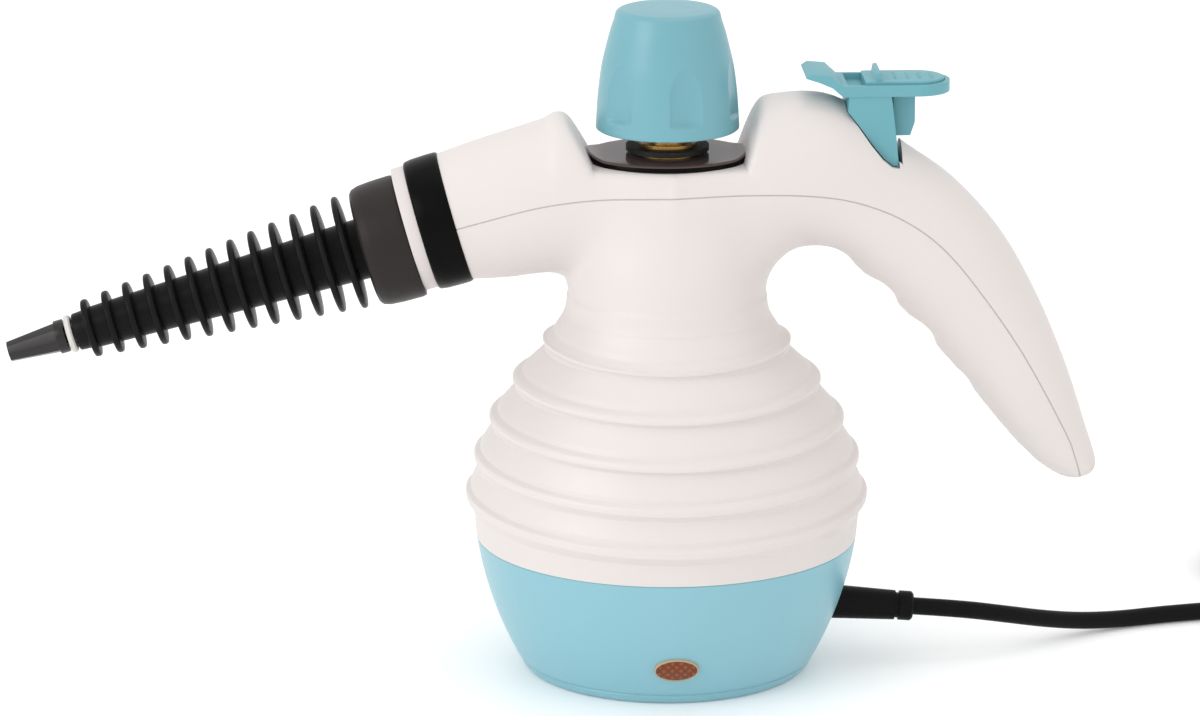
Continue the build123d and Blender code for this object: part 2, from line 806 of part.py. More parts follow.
def cap_shell():
    """Blue grip of the safety cap, with six arched grip hollows and a hub that slides on the post."""
    outer = turned([(0, cap_bottom), *cap_profile(0), (0, cap_top)])
    hollow = turned([(0, cap_bottom), *cap_profile(cap_wall), (0, cap_top - cap_wall)])
    hollow -= rod(hub_radius, hub_foot, cap_top)
    cap = outer - hollow - rod(post_radius_cap + running_gap, hub_foot, cap_top - cap_wall)
    distance = cap_radius - dimple_depth + dimple_radius
    for place in PolarLocations(distance, dimple_count, start_angle=dimple_start):
        cap -= place * rod(dimple_radius, cap_bottom + dimple_foot, cap_bottom + dimple_foot + dimple_height)
    return cap


def coil_spring(turns, mean_radius, wire_radius, length):
    """A round-wire spring along Z from zero, as one unbroken tube."""
    path = Helix(length / turns, length, mean_radius)
    profile = Plane(origin=path @ 0, z_dir=path % 0) * Circle(wire_radius)
    return Pos(0, 0, 0) * sweep(profile, path=path)


def cap_spring():
    """Spring that lifts the cap shell off the plug."""
    wire = 0.6
    low = gasket_foot + gasket_height + plug_flange_height + wire + seat_gap
    high = hub_foot - wire - seat_gap
    return Pos(0, 0, low) * coil_spring(4, (post_radius_cap + hub_radius) / 2 - seat_gap, wire, high - low)


# Steam valve and tubes

valve_height = pivot_z - tail_drop
valve_radius = 6.5
valve_start = 20.0
valve_end = 44.0
steam_tube_radius = 2.5
steam_tube_bore = 1.5
inlet_x = 26.0
inlet_foot = 115.0
plunger_radius = 2.0
plunger_start = 30.0
plunger_end = pivot_x - tail_radius - seat_gap
plunger_collar_radius = 4.6
plunger_collar_at = 54.5
plunger_collar_length = 1.8
plunger_head_radius = 3.2
plunger_head_length = 3.0
chamber_radius = 4.0
chamber_start = 24.0
chamber_end = 36.0


def valve_body():
    """Brass body of the steam valve, on the tube that comes up from the boiler."""
    body = long_rod(valve_radius, valve_start, valve_end, 0, valve_height)
    body -= long_rod(chamber_radius, chamber_start, chamber_end, 0, valve_height)
    body -= long_rod(plunger_radius + running_gap, chamber_start, valve_end, 0, valve_height)
    body -= rod(steam_tube_bore, valve_height - valve_radius, valve_height, inlet_x)
    outlet = cross_rod(steam_tube_bore, outlet_x, valve_height, 0, valve_radius)
    return body - outlet


def valve_plunger():
    """Plunger that the tail of the trigger pushes in."""
    plunger = long_rod(plunger_radius, plunger_start, plunger_end, 0, valve_height)
    plunger += long_rod(plunger_head_radius, plunger_start, plunger_start + plunger_head_length, 0, valve_height)
    plunger += long_rod(plunger_collar_radius, plunger_collar_at, plunger_collar_at + plunger_collar_length, 0,
                        valve_height)
    return plunger


def valve_spring():
    """Spring that pushes the plunger and the trigger back."""
    wire = 0.45
    low = valve_end + wire + seat_gap
    high = plunger_collar_at - wire - seat_gap
    mean = (plunger_radius + plunger_collar_radius) / 2
    return Pos(low, 0, valve_height) * Rot(0, 90, 0) * coil_spring(5, mean, wire, high - low)


def steam_inlet():
    """Upright tube from the boiler to the valve."""
    foot_to_valve = rod(steam_tube_radius, inlet_foot, valve_height - valve_radius, inlet_x)
    foot_to_valve -= rod(steam_tube_bore, inlet_foot, valve_height, inlet_x)
    top = long_rod(valve_radius, valve_start, valve_end, 0, valve_height)
    return foot_to_valve - top


outlet_x = 33.0
outlet_side = 15.0
nipple_root = 16.0
nipple_run = 18.0


def nozzle_point(along, across=0):
    """A point on the nozzle axis, measured outwards from the rear face of the collar."""
    step = band_length + end_ring_length
    x = -spout_reach + (step + along) * spout_out[0] - (nozzle_drop + across) * spout_up[0]
    z = spout_height + (step + along) * spout_out[1] - (nozzle_drop + across) * spout_up[1]
    return x, z


def steam_outlet():
    """Bent tube from the valve, round the filler neck, to the outlet nipple."""
    end_x, end_z = nozzle_point(-nipple_root)
    knee_x, knee_z = nozzle_point(-nipple_root - nipple_run)
    bend = 6.0
    path = FilletPolyline(
        (outlet_x, valve_radius, valve_height), (outlet_x, outlet_side, valve_height),
        (-plug_radius - outlet_side, outlet_side, knee_z), (knee_x, 0, knee_z), (end_x, 0, end_z), radius=bend)
    ring = Circle(steam_tube_radius) - Circle(steam_tube_bore)
    return sweep(Plane(origin=path @ 0, z_dir=path % 0) * ring, path=path)


# Spout end and nozzle, built along their own axis and then placed

hub_outer = 14.0
hub_bore = 9.0
hub_length = 8.7
lug_radius = 16.6
lug_start = 5.0
lug_length = 3.0
lug_angle = 26.0
lug_count = 2
end_ring_radius = 20.5
twist_angle = 30.0


def nozzle_frame():
    """Plane at the rear face of the collar, facing out along the nozzle."""
    x, z = nozzle_point(0)
    return Plane(origin=(x, 0, z), x_dir=(0, 1, 0), z_dir=(spout_out[0], 0, spout_out[1]))


def spout_frame():
    """Plane at the end of the shells, facing out along the spout."""
    return Plane(origin=(-spout_reach, 0, spout_height), x_dir=(0, 1, 0), z_dir=(spout_out[0], 0, spout_out[1]))


def spout_band():
    """Black band between the shells and the end ring."""
    taper = 0.3
    inner = spout_radius - 2 * shell_wall
    return spout_frame() * turned([(inner, 0), (spout_radius, 0), (spout_radius - taper, band_length),
                                   (inner, band_length)])


def sector(radius, angle, low, high, turn):
    """A wedge about Z, centred on the angle turn."""
    reach = 2 * radius
    half = radians(angle / 2)
    wedge = make_face(Polyline((0, 0), (reach * cos(half), -reach * sin(half)),
                               (reach * cos(half), reach * sin(half)), close=True))
    block = Pos(0, 0, low) * extrude(wedge, amount=high - low)
    return (Rot(0, 0, turn) * block) & rod(radius, low, high)


def spout_ring():
    """White end ring with the hub and the two lugs that hold the nozzle."""
    ring = spout_frame() * rod(end_ring_radius, band_length, band_length + end_ring_length)
    hub = rod(hub_outer, 0, hub_length)
    for index in range(lug_count):
        hub += sector(lug_radius, lug_angle, lug_start, lug_start + lug_length, 360 * index / lug_count)
    ring += nozzle_frame() * hub
    return ring - nozzle_frame() * rod(hub_bore, -overrun, overrun)


nipple_radius = 4.0
nipple_bore = 1.5
nipple_end = 8.4
nipple_flange = 4.0


def outlet_nipple():
    """Brass nipple in the hub, with a flange that fills the bore of the hub."""
    body = rod(nipple_radius, -nipple_root, nipple_end) + rod(hub_bore, -end_ring_length, nipple_flange)
    return nozzle_frame() * (body - rod(nipple_bore, -nipple_root, nipple_end))


collar_rear_radius = 20.05
collar_front_radius = 18.9
groove_start = 3.6
groove_end = 9.0
seat_end = 12.0
seal_room = 2.0
barrel_flange_radius = 12.8
barrel_root_radius = 10.0
barrel_front_radius = 6.75
barrel_bore = 4.4
tip_spigot_radius = 3.0


def nozzle_collar():
    """Black bayonet collar of the nozzle."""
    rear = seat_gap
    groove_radius = lug_radius + soft_gap
    collar = turned([(hub_outer + running_gap, rear), (collar_rear_radius, rear),
                     (collar_front_radius, collar_length), (barrel_root_radius, collar_length),
                     (barrel_root_radius, seat_end), (barrel_flange_radius, seat_end),
                     (barrel_flange_radius, groove_end), (groove_radius, groove_end),
                     (groove_radius, groove_start), (hub_outer + running_gap, groove_start)])
    play_angle = 4
    slot_angle = lug_angle + play_angle
    for index in range(lug_count):
        turn = 360 * index / lug_count - twist_angle
        collar -= sector(groove_radius, slot_angle, 0, groove_start + seat_gap, turn)
    window_length = 4.0
    window_width = 5.0
    window_at = collar_length - window_length
    collar -= Pos(0, collar_rear_radius, window_at) * Box(window_width, 2 * shell_wall, window_length)
    return nozzle_frame() * collar


def nozzle_barrel():
    """Finned barrel of the nozzle, turned as one outline."""
    bare_neck = 5.8
    first = collar_length + bare_neck
    rim_half = 0.9
    root_half = 2.5
    edge = 0.5
    points = [(barrel_bore, seat_end - seal_room), (barrel_flange_radius, seat_end - seal_room),
              (barrel_flange_radius, seat_end), (barrel_root_radius, seat_end),
              (barrel_root_radius, collar_length)]
    for index in range(fin_count):
        along = index / (fin_count - 1)
        centre = first + index * fin_pitch
        shaft = barrel_root_radius + (barrel_front_radius - barrel_root_radius) * along
        rim = fin_radius + (fin_front_radius - fin_radius) * along
        points += [(shaft, centre - root_half), (rim - edge, centre - rim_half), (rim, centre - rim_half + edge),
                   (rim, centre + rim_half - edge), (rim - edge, centre + rim_half), (shaft, centre + root_half)]
    points += [(front_collar_radius, barrel_end), (oring_seat_radius, barrel_end),
               (oring_seat_radius, barrel_end + oring_room), (tip_spigot_radius, barrel_end + oring_room),
               (tip_spigot_radius, barrel_end - 2 * oring_room), (barrel_bore, barrel_end - 2 * oring_room)]
    return nozzle_frame() * turned(points)


front_collar_radius = 6.1
oring_seat_radius = 4.8
oring_room = 3.2
oring_radius = 6.2
oring_thickness = 1.9
tip_shoulder_radius = 5.5
tip_shoulder_length = 3.0
tip_base_radius = 5.0
tip_end_radius = 3.4
tip_bore = 1.2


def nozzle_oring():
    """Pale ring between the barrel and the tip."""
    middle = barrel_end + oring_room / 2
    low, high = middle - oring_thickness / 2, middle + oring_thickness / 2
    edge = 0.5
    return nozzle_frame() * turned([(oring_seat_radius, low), (oring_radius - edge, low),
                                    (oring_radius, low + edge), (oring_radius, high - edge),
                                    (oring_radius - edge, high), (oring_seat_radius, high)])


def nozzle_tip():
    """Tip with lengthwise facets, pushed into the barrel."""
    rear = barrel_end + oring_room
    shoulder = rear + tip_shoulder_length
    tip = rod(tip_shoulder_radius, rear, shoulder) + rod(tip_spigot_radius, barrel_end - oring_room, shoulder)
    facets = 8
    base = Pos(0, 0, shoulder) * RegularPolygon(tip_base_radius, facets)
    end = Pos(0, 0, tip_end) * RegularPolygon(tip_end_radius, facets)
    tip += loft([base, end])
    return nozzle_frame() * (tip - rod(tip_bore, barrel_end - oring_room, tip_end))


def nozzle_seal():
    """Soft ring between the hub and the barrel."""
    low = hub_length + soft_gap
    high = seat_end - seal_room
    inner = nipple_radius + shell_wall / 2
    return nozzle_frame() * turned([(inner, low), (barrel_root_radius, low), (barrel_root_radius, high),
                                    (inner, high)])


# Trigger and lock

plate_top_z = plate_bottom + plate_thickness
recess_floor = plate_bottom + 1.5
recess_wall = 1.6
slider_gap = 0.25
slider_front = 63.5
slider_rear = plate_rear - recess_wall - slider_gap
tongue_front = 72.9
tongue_rear = 80.1
tongue_half_width = 3.9
tongue_bottom = 178.4
tongue_chamfer = 4.4
tab_rise = 6.2
tab_reach = 11.9
tab_over_shares = ((1.0, 1.0), (0.84, 1.21), (0.353, 1.13), (0.042, 0.58))
tab_under_shares = ((0.286, 0.484), (0.639, 0.774))
nub_middle = 67.9
nub_length = 2.6
nub_height = 2.6
ridge_height = 0.6
ridge_count = 4
ridge_gap = 3.9
first_ridge = 73.6


def stadium(front, rear, half_width, low, high):
    """A flat block in plan: square at the front, round at the rear."""
    centre = rear - half_width
    face = Pos((front + centre) / 2, 0) * Rectangle(centre - front, 2 * half_width) + Pos(centre, 0) * Circle(
        half_width)
    return Pos(0, 0, low) * extrude(face, amount=high - low)


def trigger_lever():
    """Steam trigger: thumb plate with a recess, flared tab, fin with two cheeks, arm, boss and tail."""
    lever = stadium(plate_front, plate_rear, plate_half_width, plate_bottom, plate_top_z)
    lever -= stadium(plate_front + recess_wall, plate_rear - recess_wall, plate_half_width - recess_wall,
                     recess_floor, plate_top_z)
    over = [(plate_front - along * tab_reach, plate_bottom + up * tab_rise) for along, up in tab_over_shares]
    under = [(plate_front - along * tab_reach, plate_bottom + up * tab_rise) for along, up in tab_under_shares]
    tab = (*over, (plate_front + recess_wall, plate_top_z), (plate_front + recess_wall, plate_bottom),
           (plate_front, plate_bottom), *under)
    lever += side_slab(tab, -plate_half_width, plate_half_width)
    fin = [*fin_front_edge, fin_tip, *fin_rear_edge]
    for side in (-1, 1):
        inner, outer = side * (cheek_half_width - cheek_thickness), side * cheek_half_width
        lever += side_slab(fin, *sorted((inner, outer)))
    web = 2.2
    web_points = [*fin_front_edge, *[(x + web, z + web / 2) for x, z in reversed(fin_front_edge[1:])],
                  (fin_front_edge[0][0] + web, fin_front_edge[0][1])]
    lever += side_slab(web_points, -cheek_half_width, cheek_half_width)
    arm = [fin_front_edge[3], fin_front_edge[4], fin_front_edge[5], (pivot_x + trigger_boss_radius, pivot_z),
           (pivot_x - trigger_boss_radius, pivot_z)]
    lever += side_slab(arm, -arm_half_width, arm_half_width)
    lever += cross_rod(trigger_boss_radius, pivot_x, pivot_z, -trigger_boss_half_width, trigger_boss_half_width)
    lever += side_slab([(pivot_x - tail_radius, pivot_z), (pivot_x - tail_radius, valve_height),
                        (pivot_x + tail_radius, valve_height), (pivot_x + tail_radius, pivot_z)],
                       -arm_half_width, arm_half_width)
    lever += cross_rod(tail_radius, pivot_x, valve_height, -arm_half_width, arm_half_width)
    lever -= cross_rod(pivot_pin_radius + running_gap, pivot_x, pivot_z, -overrun, overrun)
    front = tongue_front - lock_travel - soft_gap
    slot = Pos((front + tongue_rear + soft_gap) / 2, 0, plate_bottom) * Box(
        tongue_rear + soft_gap - front, 2 * tongue_half_width + 2 * seat_gap, 2 * plate_thickness)
    return lever - slot


def lock_slider():
    """Sliding lock in the recess of the thumb plate, with a nub, ridges and a tongue."""
    foot = recess_floor + seat_gap / 2
    top = plate_top_z + 1.0
    half = plate_half_width - recess_wall - slider_gap
    slider = stadium(slider_front, slider_rear, half, foot, top)
    slider = fillet(slider.edges().group_by(Axis.Z)[-1], ridge_height)
    nub = ((nub_middle - nub_length / 2, top - ridge_height), (nub_middle - nub_length / 4, top + nub_height),
           (nub_middle + nub_length / 4, top + nub_height), (nub_middle + nub_length / 2, top - ridge_height))
    slider += side_slab(nub, -half + 2 * ridge_height, half - 2 * ridge_height)
    ridge = ridge_height
    for index in range(ridge_count):
        x = first_ridge + index * ridge_gap
        slider += side_slab(((x - ridge, top - ridge), (x, top + ridge), (x + ridge, top - ridge)),
                            -half / 2, half / 2)
    tongue = ((tongue_front, foot + ridge), (tongue_rear, foot + ridge),
              (tongue_rear, tongue_bottom + tongue_chamfer),
              (tongue_rear - tongue_chamfer / 3, tongue_bottom), (tongue_front, tongue_bottom))
    return slider + side_slab(tongue, -tongue_half_width, tongue_half_width)


# Wiring and mains lead

block_x = 0.0
block_y = 16.0
block_length = 30.0
block_width = 12.0
block_height = 10.0


def terminal_block():
    """Terminal block on the bottom cover."""
    low = base_plate_thickness
    block = Pos(block_x, block_y, low + block_height / 2) * Box(block_length, block_width, block_height)
    pole_count = 3
    pole_radius = 2.2
    for pole in range(pole_count):
        x = block_x + (pole - (pole_count - 1) / 2) * block_length / pole_count
        block -= rod(pole_radius, low + block_height / 2, low + block_height, x, block_y)
    return block


def inner_lead():
    """Sheathed lead inside the cup, from the strain relief to the terminal block."""
    slope = radians(relief_slope)
    back = relief_length + relief_inner_length
    start = (relief_end_x - back * cos(slope), 0, relief_end_z + back * sin(slope))
    run = 14.0
    knee = (start[0] - run * cos(slope), 0, start[2] + run * sin(slope))
    end_x = block_x + block_length / 2
    middle = base_plate_thickness + block_height / 2
    path = FilletPolyline(start, knee, (end_x + run / 2, block_y, middle), (end_x, block_y, middle),
                          radius=1.2 * cord_radius)
    return sweep(Plane(origin=path @ 0, z_dir=path % 0) * Circle(cord_radius), path=path)


# The free stretch from the strain relief to the coil; its points are chosen by hand
coil_x = 241.0
coil_y = 83.0
coil_radius = 46.0
coil_pitch = 6.35
coil_halves_in = 7
coil_halves_out = 6
coil_lead_in = 2 * cord_radius
coil_lead_out = 36.0
coil_start_y = coil_y - coil_radius
lead_first_run = 16.0
lead_route = (
    (relief_end_x, 0.0, relief_end_z),
    (relief_end_x + lead_first_run * cos(radians(relief_slope)), 0.0,
     relief_end_z - lead_first_run * sin(radians(relief_slope))),
    (113.5, 4.6, 12.4),
    (127.5, 11.8, 8.2),
    (141.0, 19.6, 4.7),
    (155.0, 26.2, cord_radius),
    (171.5, 31.2, cord_radius),
    (190.0, 34.9, cord_radius),
    (212.0, coil_start_y, cord_radius),
    (coil_x - coil_lead_in, coil_start_y, cord_radius),
)


def corner_radii(points):
    """Radius of the arc at each corner: 0.45 of the shorter run over the tangent of half the turn."""
    radii = []
    for before, here, after in zip(points, points[1:], points[2:]):
        one, two = Vector(*here) - Vector(*before), Vector(*after) - Vector(*here)
        radii.append(0.45 * min(one.length, two.length) / tan(radians(one.get_angle(two)) / 2))
    return radii


def cord_lead():
    """Free stretch of the mains lead."""
    radii = corner_radii(lead_route)
    path = FilletPolyline(*lead_route, radius=radii)
    lead = sweep(Plane(origin=path @ 0, z_dir=path % 0) * Circle(cord_radius), path=path)
    print("lead radii", [round(radius, 1) for radius in radii], "length", round(path.length, 1))
    print("lead volume over section times length", round(lead.volume / (pi * cord_radius ** 2 * path.length), 4))
    return lead


def coil_edges():
    """Path of the coil: in on the floor, up a layer in the innermost half turn, and out above."""
    low = cord_radius
    y = coil_start_y
    edges = [Line((coil_x - coil_lead_in, y, low), (coil_x, y, low))]
    heading = 1
    radii = [coil_radius - half * coil_pitch / 2 for half in range(coil_halves_in)]
    for radius in radii:
        edges.append(half_turn(y, radius, low, heading))
        y += 2 * radius * heading
        heading = -heading
    radius = coil_radius - coil_halves_in * coil_pitch / 2
    high = low + coil_pitch
    centre = y + radius * heading
    bulge = sqrt(radius ** 2 + (coil_pitch / 2) ** 2)
    middle = Vector(coil_x + heading * bulge, centre, (low + high) / 2)
    start, end = Vector(coil_x, y, low), Vector(coil_x, y + 2 * radius * heading, high)
    edges.append(Edge.make_tangent_arc(start, Vector(heading, 0, 0), middle))
    edges.append(Edge.make_tangent_arc(middle, edges[-1] % 1, end))
    y += 2 * radius * heading
    heading = -heading
    for half in range(coil_halves_out):
        radius = coil_radius - (coil_halves_in - 1 - half) * coil_pitch / 2
        edges.append(half_turn(y, radius, high, heading))
        y += 2 * radius * heading
        heading = -heading
    edges.append(Line((coil_x, y, high), (coil_x + heading * coil_lead_out, y, high)))
    return edges


def half_turn(y, radius, height, heading):
    """Half circle of the coil that starts at y and turns towards +Y when heading is positive."""
    middle = (coil_x + heading * radius, y + radius * heading, height)
    return ThreePointArc((coil_x, y, height), middle, (coil_x, y + 2 * radius * heading, height))


def least_gap(path, length):
    """Least distance between turns of the coil, less the cord's diameter, on points along it."""
    count = 700
    points = [path @ (i / count) for i in range(count + 1)]
    spacing = length / count
    apart = int(pi * 4 * cord_radius / spacing)
    best = length
    for i, one in enumerate(points):
        for two in points[i + apart:]:
            best = min(best, (one - two).length)
    return best - 2 * cord_radius


def cord_coil():
    """The put-away length as a two-layer coil, one unbroken tube."""
    path = Wire(coil_edges())
    coil = sweep(Plane(origin=path @ 0, z_dir=path % 0) * Circle(cord_radius), path=path)
    print("coil length", round(path.length, 1), "least gap", round(least_gap(path, path.length), 2),
          "tightest radius", round(coil_radius - coil_halves_in * coil_pitch / 2, 1))
    return coil


def plug_frame():
    """Plane where the coil meets the plug, facing along it."""
    end = coil_edges()[-1] @ 1
    return Plane(origin=(end.X, end.Y, end.Z), x_dir=(0, 1, 0), z_dir=(1, 0, 0))


plug_relief_length = 17.0
plug_body_length = 25.0
plug_half_width = 13.5
plug_half_height = cord_radius + coil_pitch
plug_corner = 5.0
blade_spread = 6.35
blade_half_width = 3.15
blade_thickness = 1.5
blade_length = 17.0
earth_radius = 2.4
earth_offset = 8.0
blade_offset = -4.0


def plug_body():
    """Moulded plug that lies on its side, with a tapered relief towards the cord."""
    taper = turned([(0, 0), (1.3 * cord_radius, 0), (1.9 * cord_radius, plug_relief_length),
                    (0, plug_relief_length)])
    block = Pos(0, 0, plug_relief_length) * extrude(
        RectangleRounded(2 * plug_half_width, 2 * plug_half_height, plug_corner), amount=plug_body_length)
    block = fillet(block.edges().group_by(Axis.Z)[0], plug_corner / 2)
    body = taper + block
    body -= blades_at_origin()
    return plug_frame() * body


def blades_at_origin():
    """Two flat blades and the round earth pin."""
    foot = plug_relief_length + plug_body_length / 2
    top = plug_relief_length + plug_body_length + blade_length
    group = Part()
    for side in (-1, 1):
        group += Pos(blade_offset, side * blade_spread, (foot + top) / 2) * Box(
            2 * blade_half_width, blade_thickness, top - foot)
    return group + rod(earth_radius, foot, top + blade_thickness, earth_offset, 0)


def plug_blades():
    """Metal blades and pin of the plug."""
    return plug_frame() * blades_at_origin()


def main():
    os.makedirs("parts", exist_ok=True)
    upper, lower = shells()
    nodes = {
        "upper_shell": upper,
        "lower_shell": lower,
        "shell_screws": shell_screws(),
        "base_cup": base_cup(),
        "base_plate": base_plate(),
        "base_screws": base_screws(),
        "lamp_lens": lamp_lens(),
        "lamp_bezel": lamp_bezel(),
        "lamp_bulb": lamp_bulb(),
        "boiler_lower": boiler_lower(),
        "boiler_gasket": boiler_gasket(),
        "boiler_upper": boiler_upper(),
        "boiler_bolts": boiler_bolts(),
        "heating_element": heating_element(),
        "thermostat": thermostat(),
        "thermal_fuse": thermal_fuse(),
        "filler_neck": filler_neck(),
        "collar_plate": collar_plate(),
        "cap_shell": cap_shell(),
        "cap_plug": cap_plug(),
        "cap_gasket": cap_gasket(),
        "cap_spring": cap_spring(),
        "relief_poppet": relief_poppet(),
        "valve_body": valve_body(),
        "valve_plunger": valve_plunger(),
        "valve_spring": valve_spring(),
        "steam_inlet": steam_inlet(),
        "steam_outlet": steam_outlet(),
        "spout_band": spout_band(),
        "spout_ring": spout_ring(),
        "outlet_nipple": outlet_nipple(),
        "nozzle_collar": nozzle_collar(),
        "nozzle_barrel": nozzle_barrel(),
        "nozzle_seal": nozzle_seal(),
        "nozzle_oring": nozzle_oring(),
        "nozzle_tip": nozzle_tip(),
        "trigger_lever": trigger_lever(),
        "lock_slider": lock_slider(),
        "pivot_pin": pivot_pin(),
        "terminal_block": terminal_block(),
        "inner_lead": inner_lead(),
        "strain_relief": strain_relief(),
        "cord_lead": cord_lead(),
        "cord_coil": cord_coil(),
        "plug_body": plug_body(),
        "plug_blades": plug_blades(),
    }
    for name, solid in nodes.items():
        export_step(solid, os.path.join("parts", name + ".step"))


main()
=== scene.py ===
"""Looks of a handheld steam cleaner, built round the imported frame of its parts.

Lengths in the classes are millimetres, as in a workshop drawing, and meshes are made in metres.
"""
import logging
import math
from dataclasses import dataclass
from enum import Enum

import bmesh
import bpy
import numpy as np
from mathutils import Matrix, Vector


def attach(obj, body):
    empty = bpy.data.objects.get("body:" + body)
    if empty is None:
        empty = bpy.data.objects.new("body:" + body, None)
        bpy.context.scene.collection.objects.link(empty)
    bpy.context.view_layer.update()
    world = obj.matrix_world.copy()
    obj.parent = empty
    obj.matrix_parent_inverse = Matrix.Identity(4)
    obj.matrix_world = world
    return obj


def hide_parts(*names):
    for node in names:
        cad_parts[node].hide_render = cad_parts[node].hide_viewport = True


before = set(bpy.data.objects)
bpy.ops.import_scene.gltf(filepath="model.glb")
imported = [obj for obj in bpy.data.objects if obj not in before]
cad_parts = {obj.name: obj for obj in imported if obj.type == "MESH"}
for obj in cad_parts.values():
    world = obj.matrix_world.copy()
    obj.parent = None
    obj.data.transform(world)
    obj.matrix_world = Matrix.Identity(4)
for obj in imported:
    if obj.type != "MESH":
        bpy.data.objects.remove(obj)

MM = 0.001
FULL_TURN = 2 * math.pi
Point = tuple[float, float]
Place = tuple[float, float, float]
Faces = list[tuple[int, ...]]
Material = bpy.types.Material
Piece = bpy.types.Object
Socket = bpy.types.NodeSocket
Tree = bpy.types.NodeTree
LOG = logging.getLogger("steam_cleaner")
TIDY_DISTANCE = 2e-6
FLAT_ANGLE = math.radians(1.0)
EDGE_ANGLE = 35.0
EDGE_STEPS = 3
BEVELLED_ANGLE = 45.0
CORNER_SHARE = 0.45
LEAST_RADIUS = 1e-6
SLEEVE_PARTS = 144
CUTTER_PARTS = 40


def linear(red: int, green: int, blue: int) -> tuple[float, ...]:
    """Linear colour of an 8-bit screen colour.

    Args:
        red, green, blue: Screen values from 0 to 255.

    Returns:
        The linear colour with full alpha.
    """
    parts = [c / 255 for c in (red, green, blue)]
    return (*[c / 12.92 if c <= 0.04045 else ((c + 0.055) / 1.055) ** 2.4 for c in parts], 1.0)


def feed(tree: Tree, made: bpy.types.Node, values: dict) -> bpy.types.Node:
    """Sets the inputs of a node, or links them where the value is a socket.

    Args:
        tree: The node tree.
        made: The node.
        values: A value or an output socket for each input, by name or number.

    Returns:
        The node.
    """
    for key, value in values.items():
        if isinstance(value, Socket):
            tree.links.new(value, made.inputs[key])
        else:
            made.inputs[key].default_value = value
    return made


def node(tree: Tree, kind: str, values: dict | None = None, **settings: str) -> bpy.types.Node:
    """Adds a node.

    Args:
        tree: The node tree.
        kind: Type of the node.
        values: A value or an output socket for each input, by name or number.
        settings: The node's own properties.

    Returns:
        The node.
    """
    made = tree.nodes.new(kind)
    for name, value in settings.items():
        setattr(made, name, value)
    return feed(tree, made, values or {})


class Grain(Enum):
    """How a finish's small surface detail runs."""

    SMOOTH = "smooth"
    MOULDED = "moulded"
    TURNED = "turned"
    BRUSHED = "brushed"
    PRISMS = "prisms"
    SEAMED = "seamed"


@dataclass(frozen=True)
class Texture:
    """Scales per metre, depths in millimetres and shares that all finishes have in common."""

    cloud: Point = (35.0, 3.0)
    gloss: Point = (260.0, 2.0)
    gloss_range: Point = (0.85, 1.2)
    plain: float = 900.0
    moulded: float = 1800.0
    grain_detail: float = 4.0
    grain_depth: float = 0.05
    turning: float = 900.0
    turning_waver: float = 1.5
    turning_depth: float = 0.03
    prisms: float = 160.0
    prism_turns: Point = (45.0, -45.0)
    prism_depth: float = 0.5
    prism_shade: float = 0.35
    seam_colour: tuple[int, int, int] = (196, 184, 178)
    seam_edges: Point = (0.02, 0.26)
    seam_depth: float = 0.25
    seam_grain: float = 0.03
    scatter_radius: Place = (1.0, 0.9, 0.8)
    scatter_scale: float = 2.5


TEXTURE = Texture()


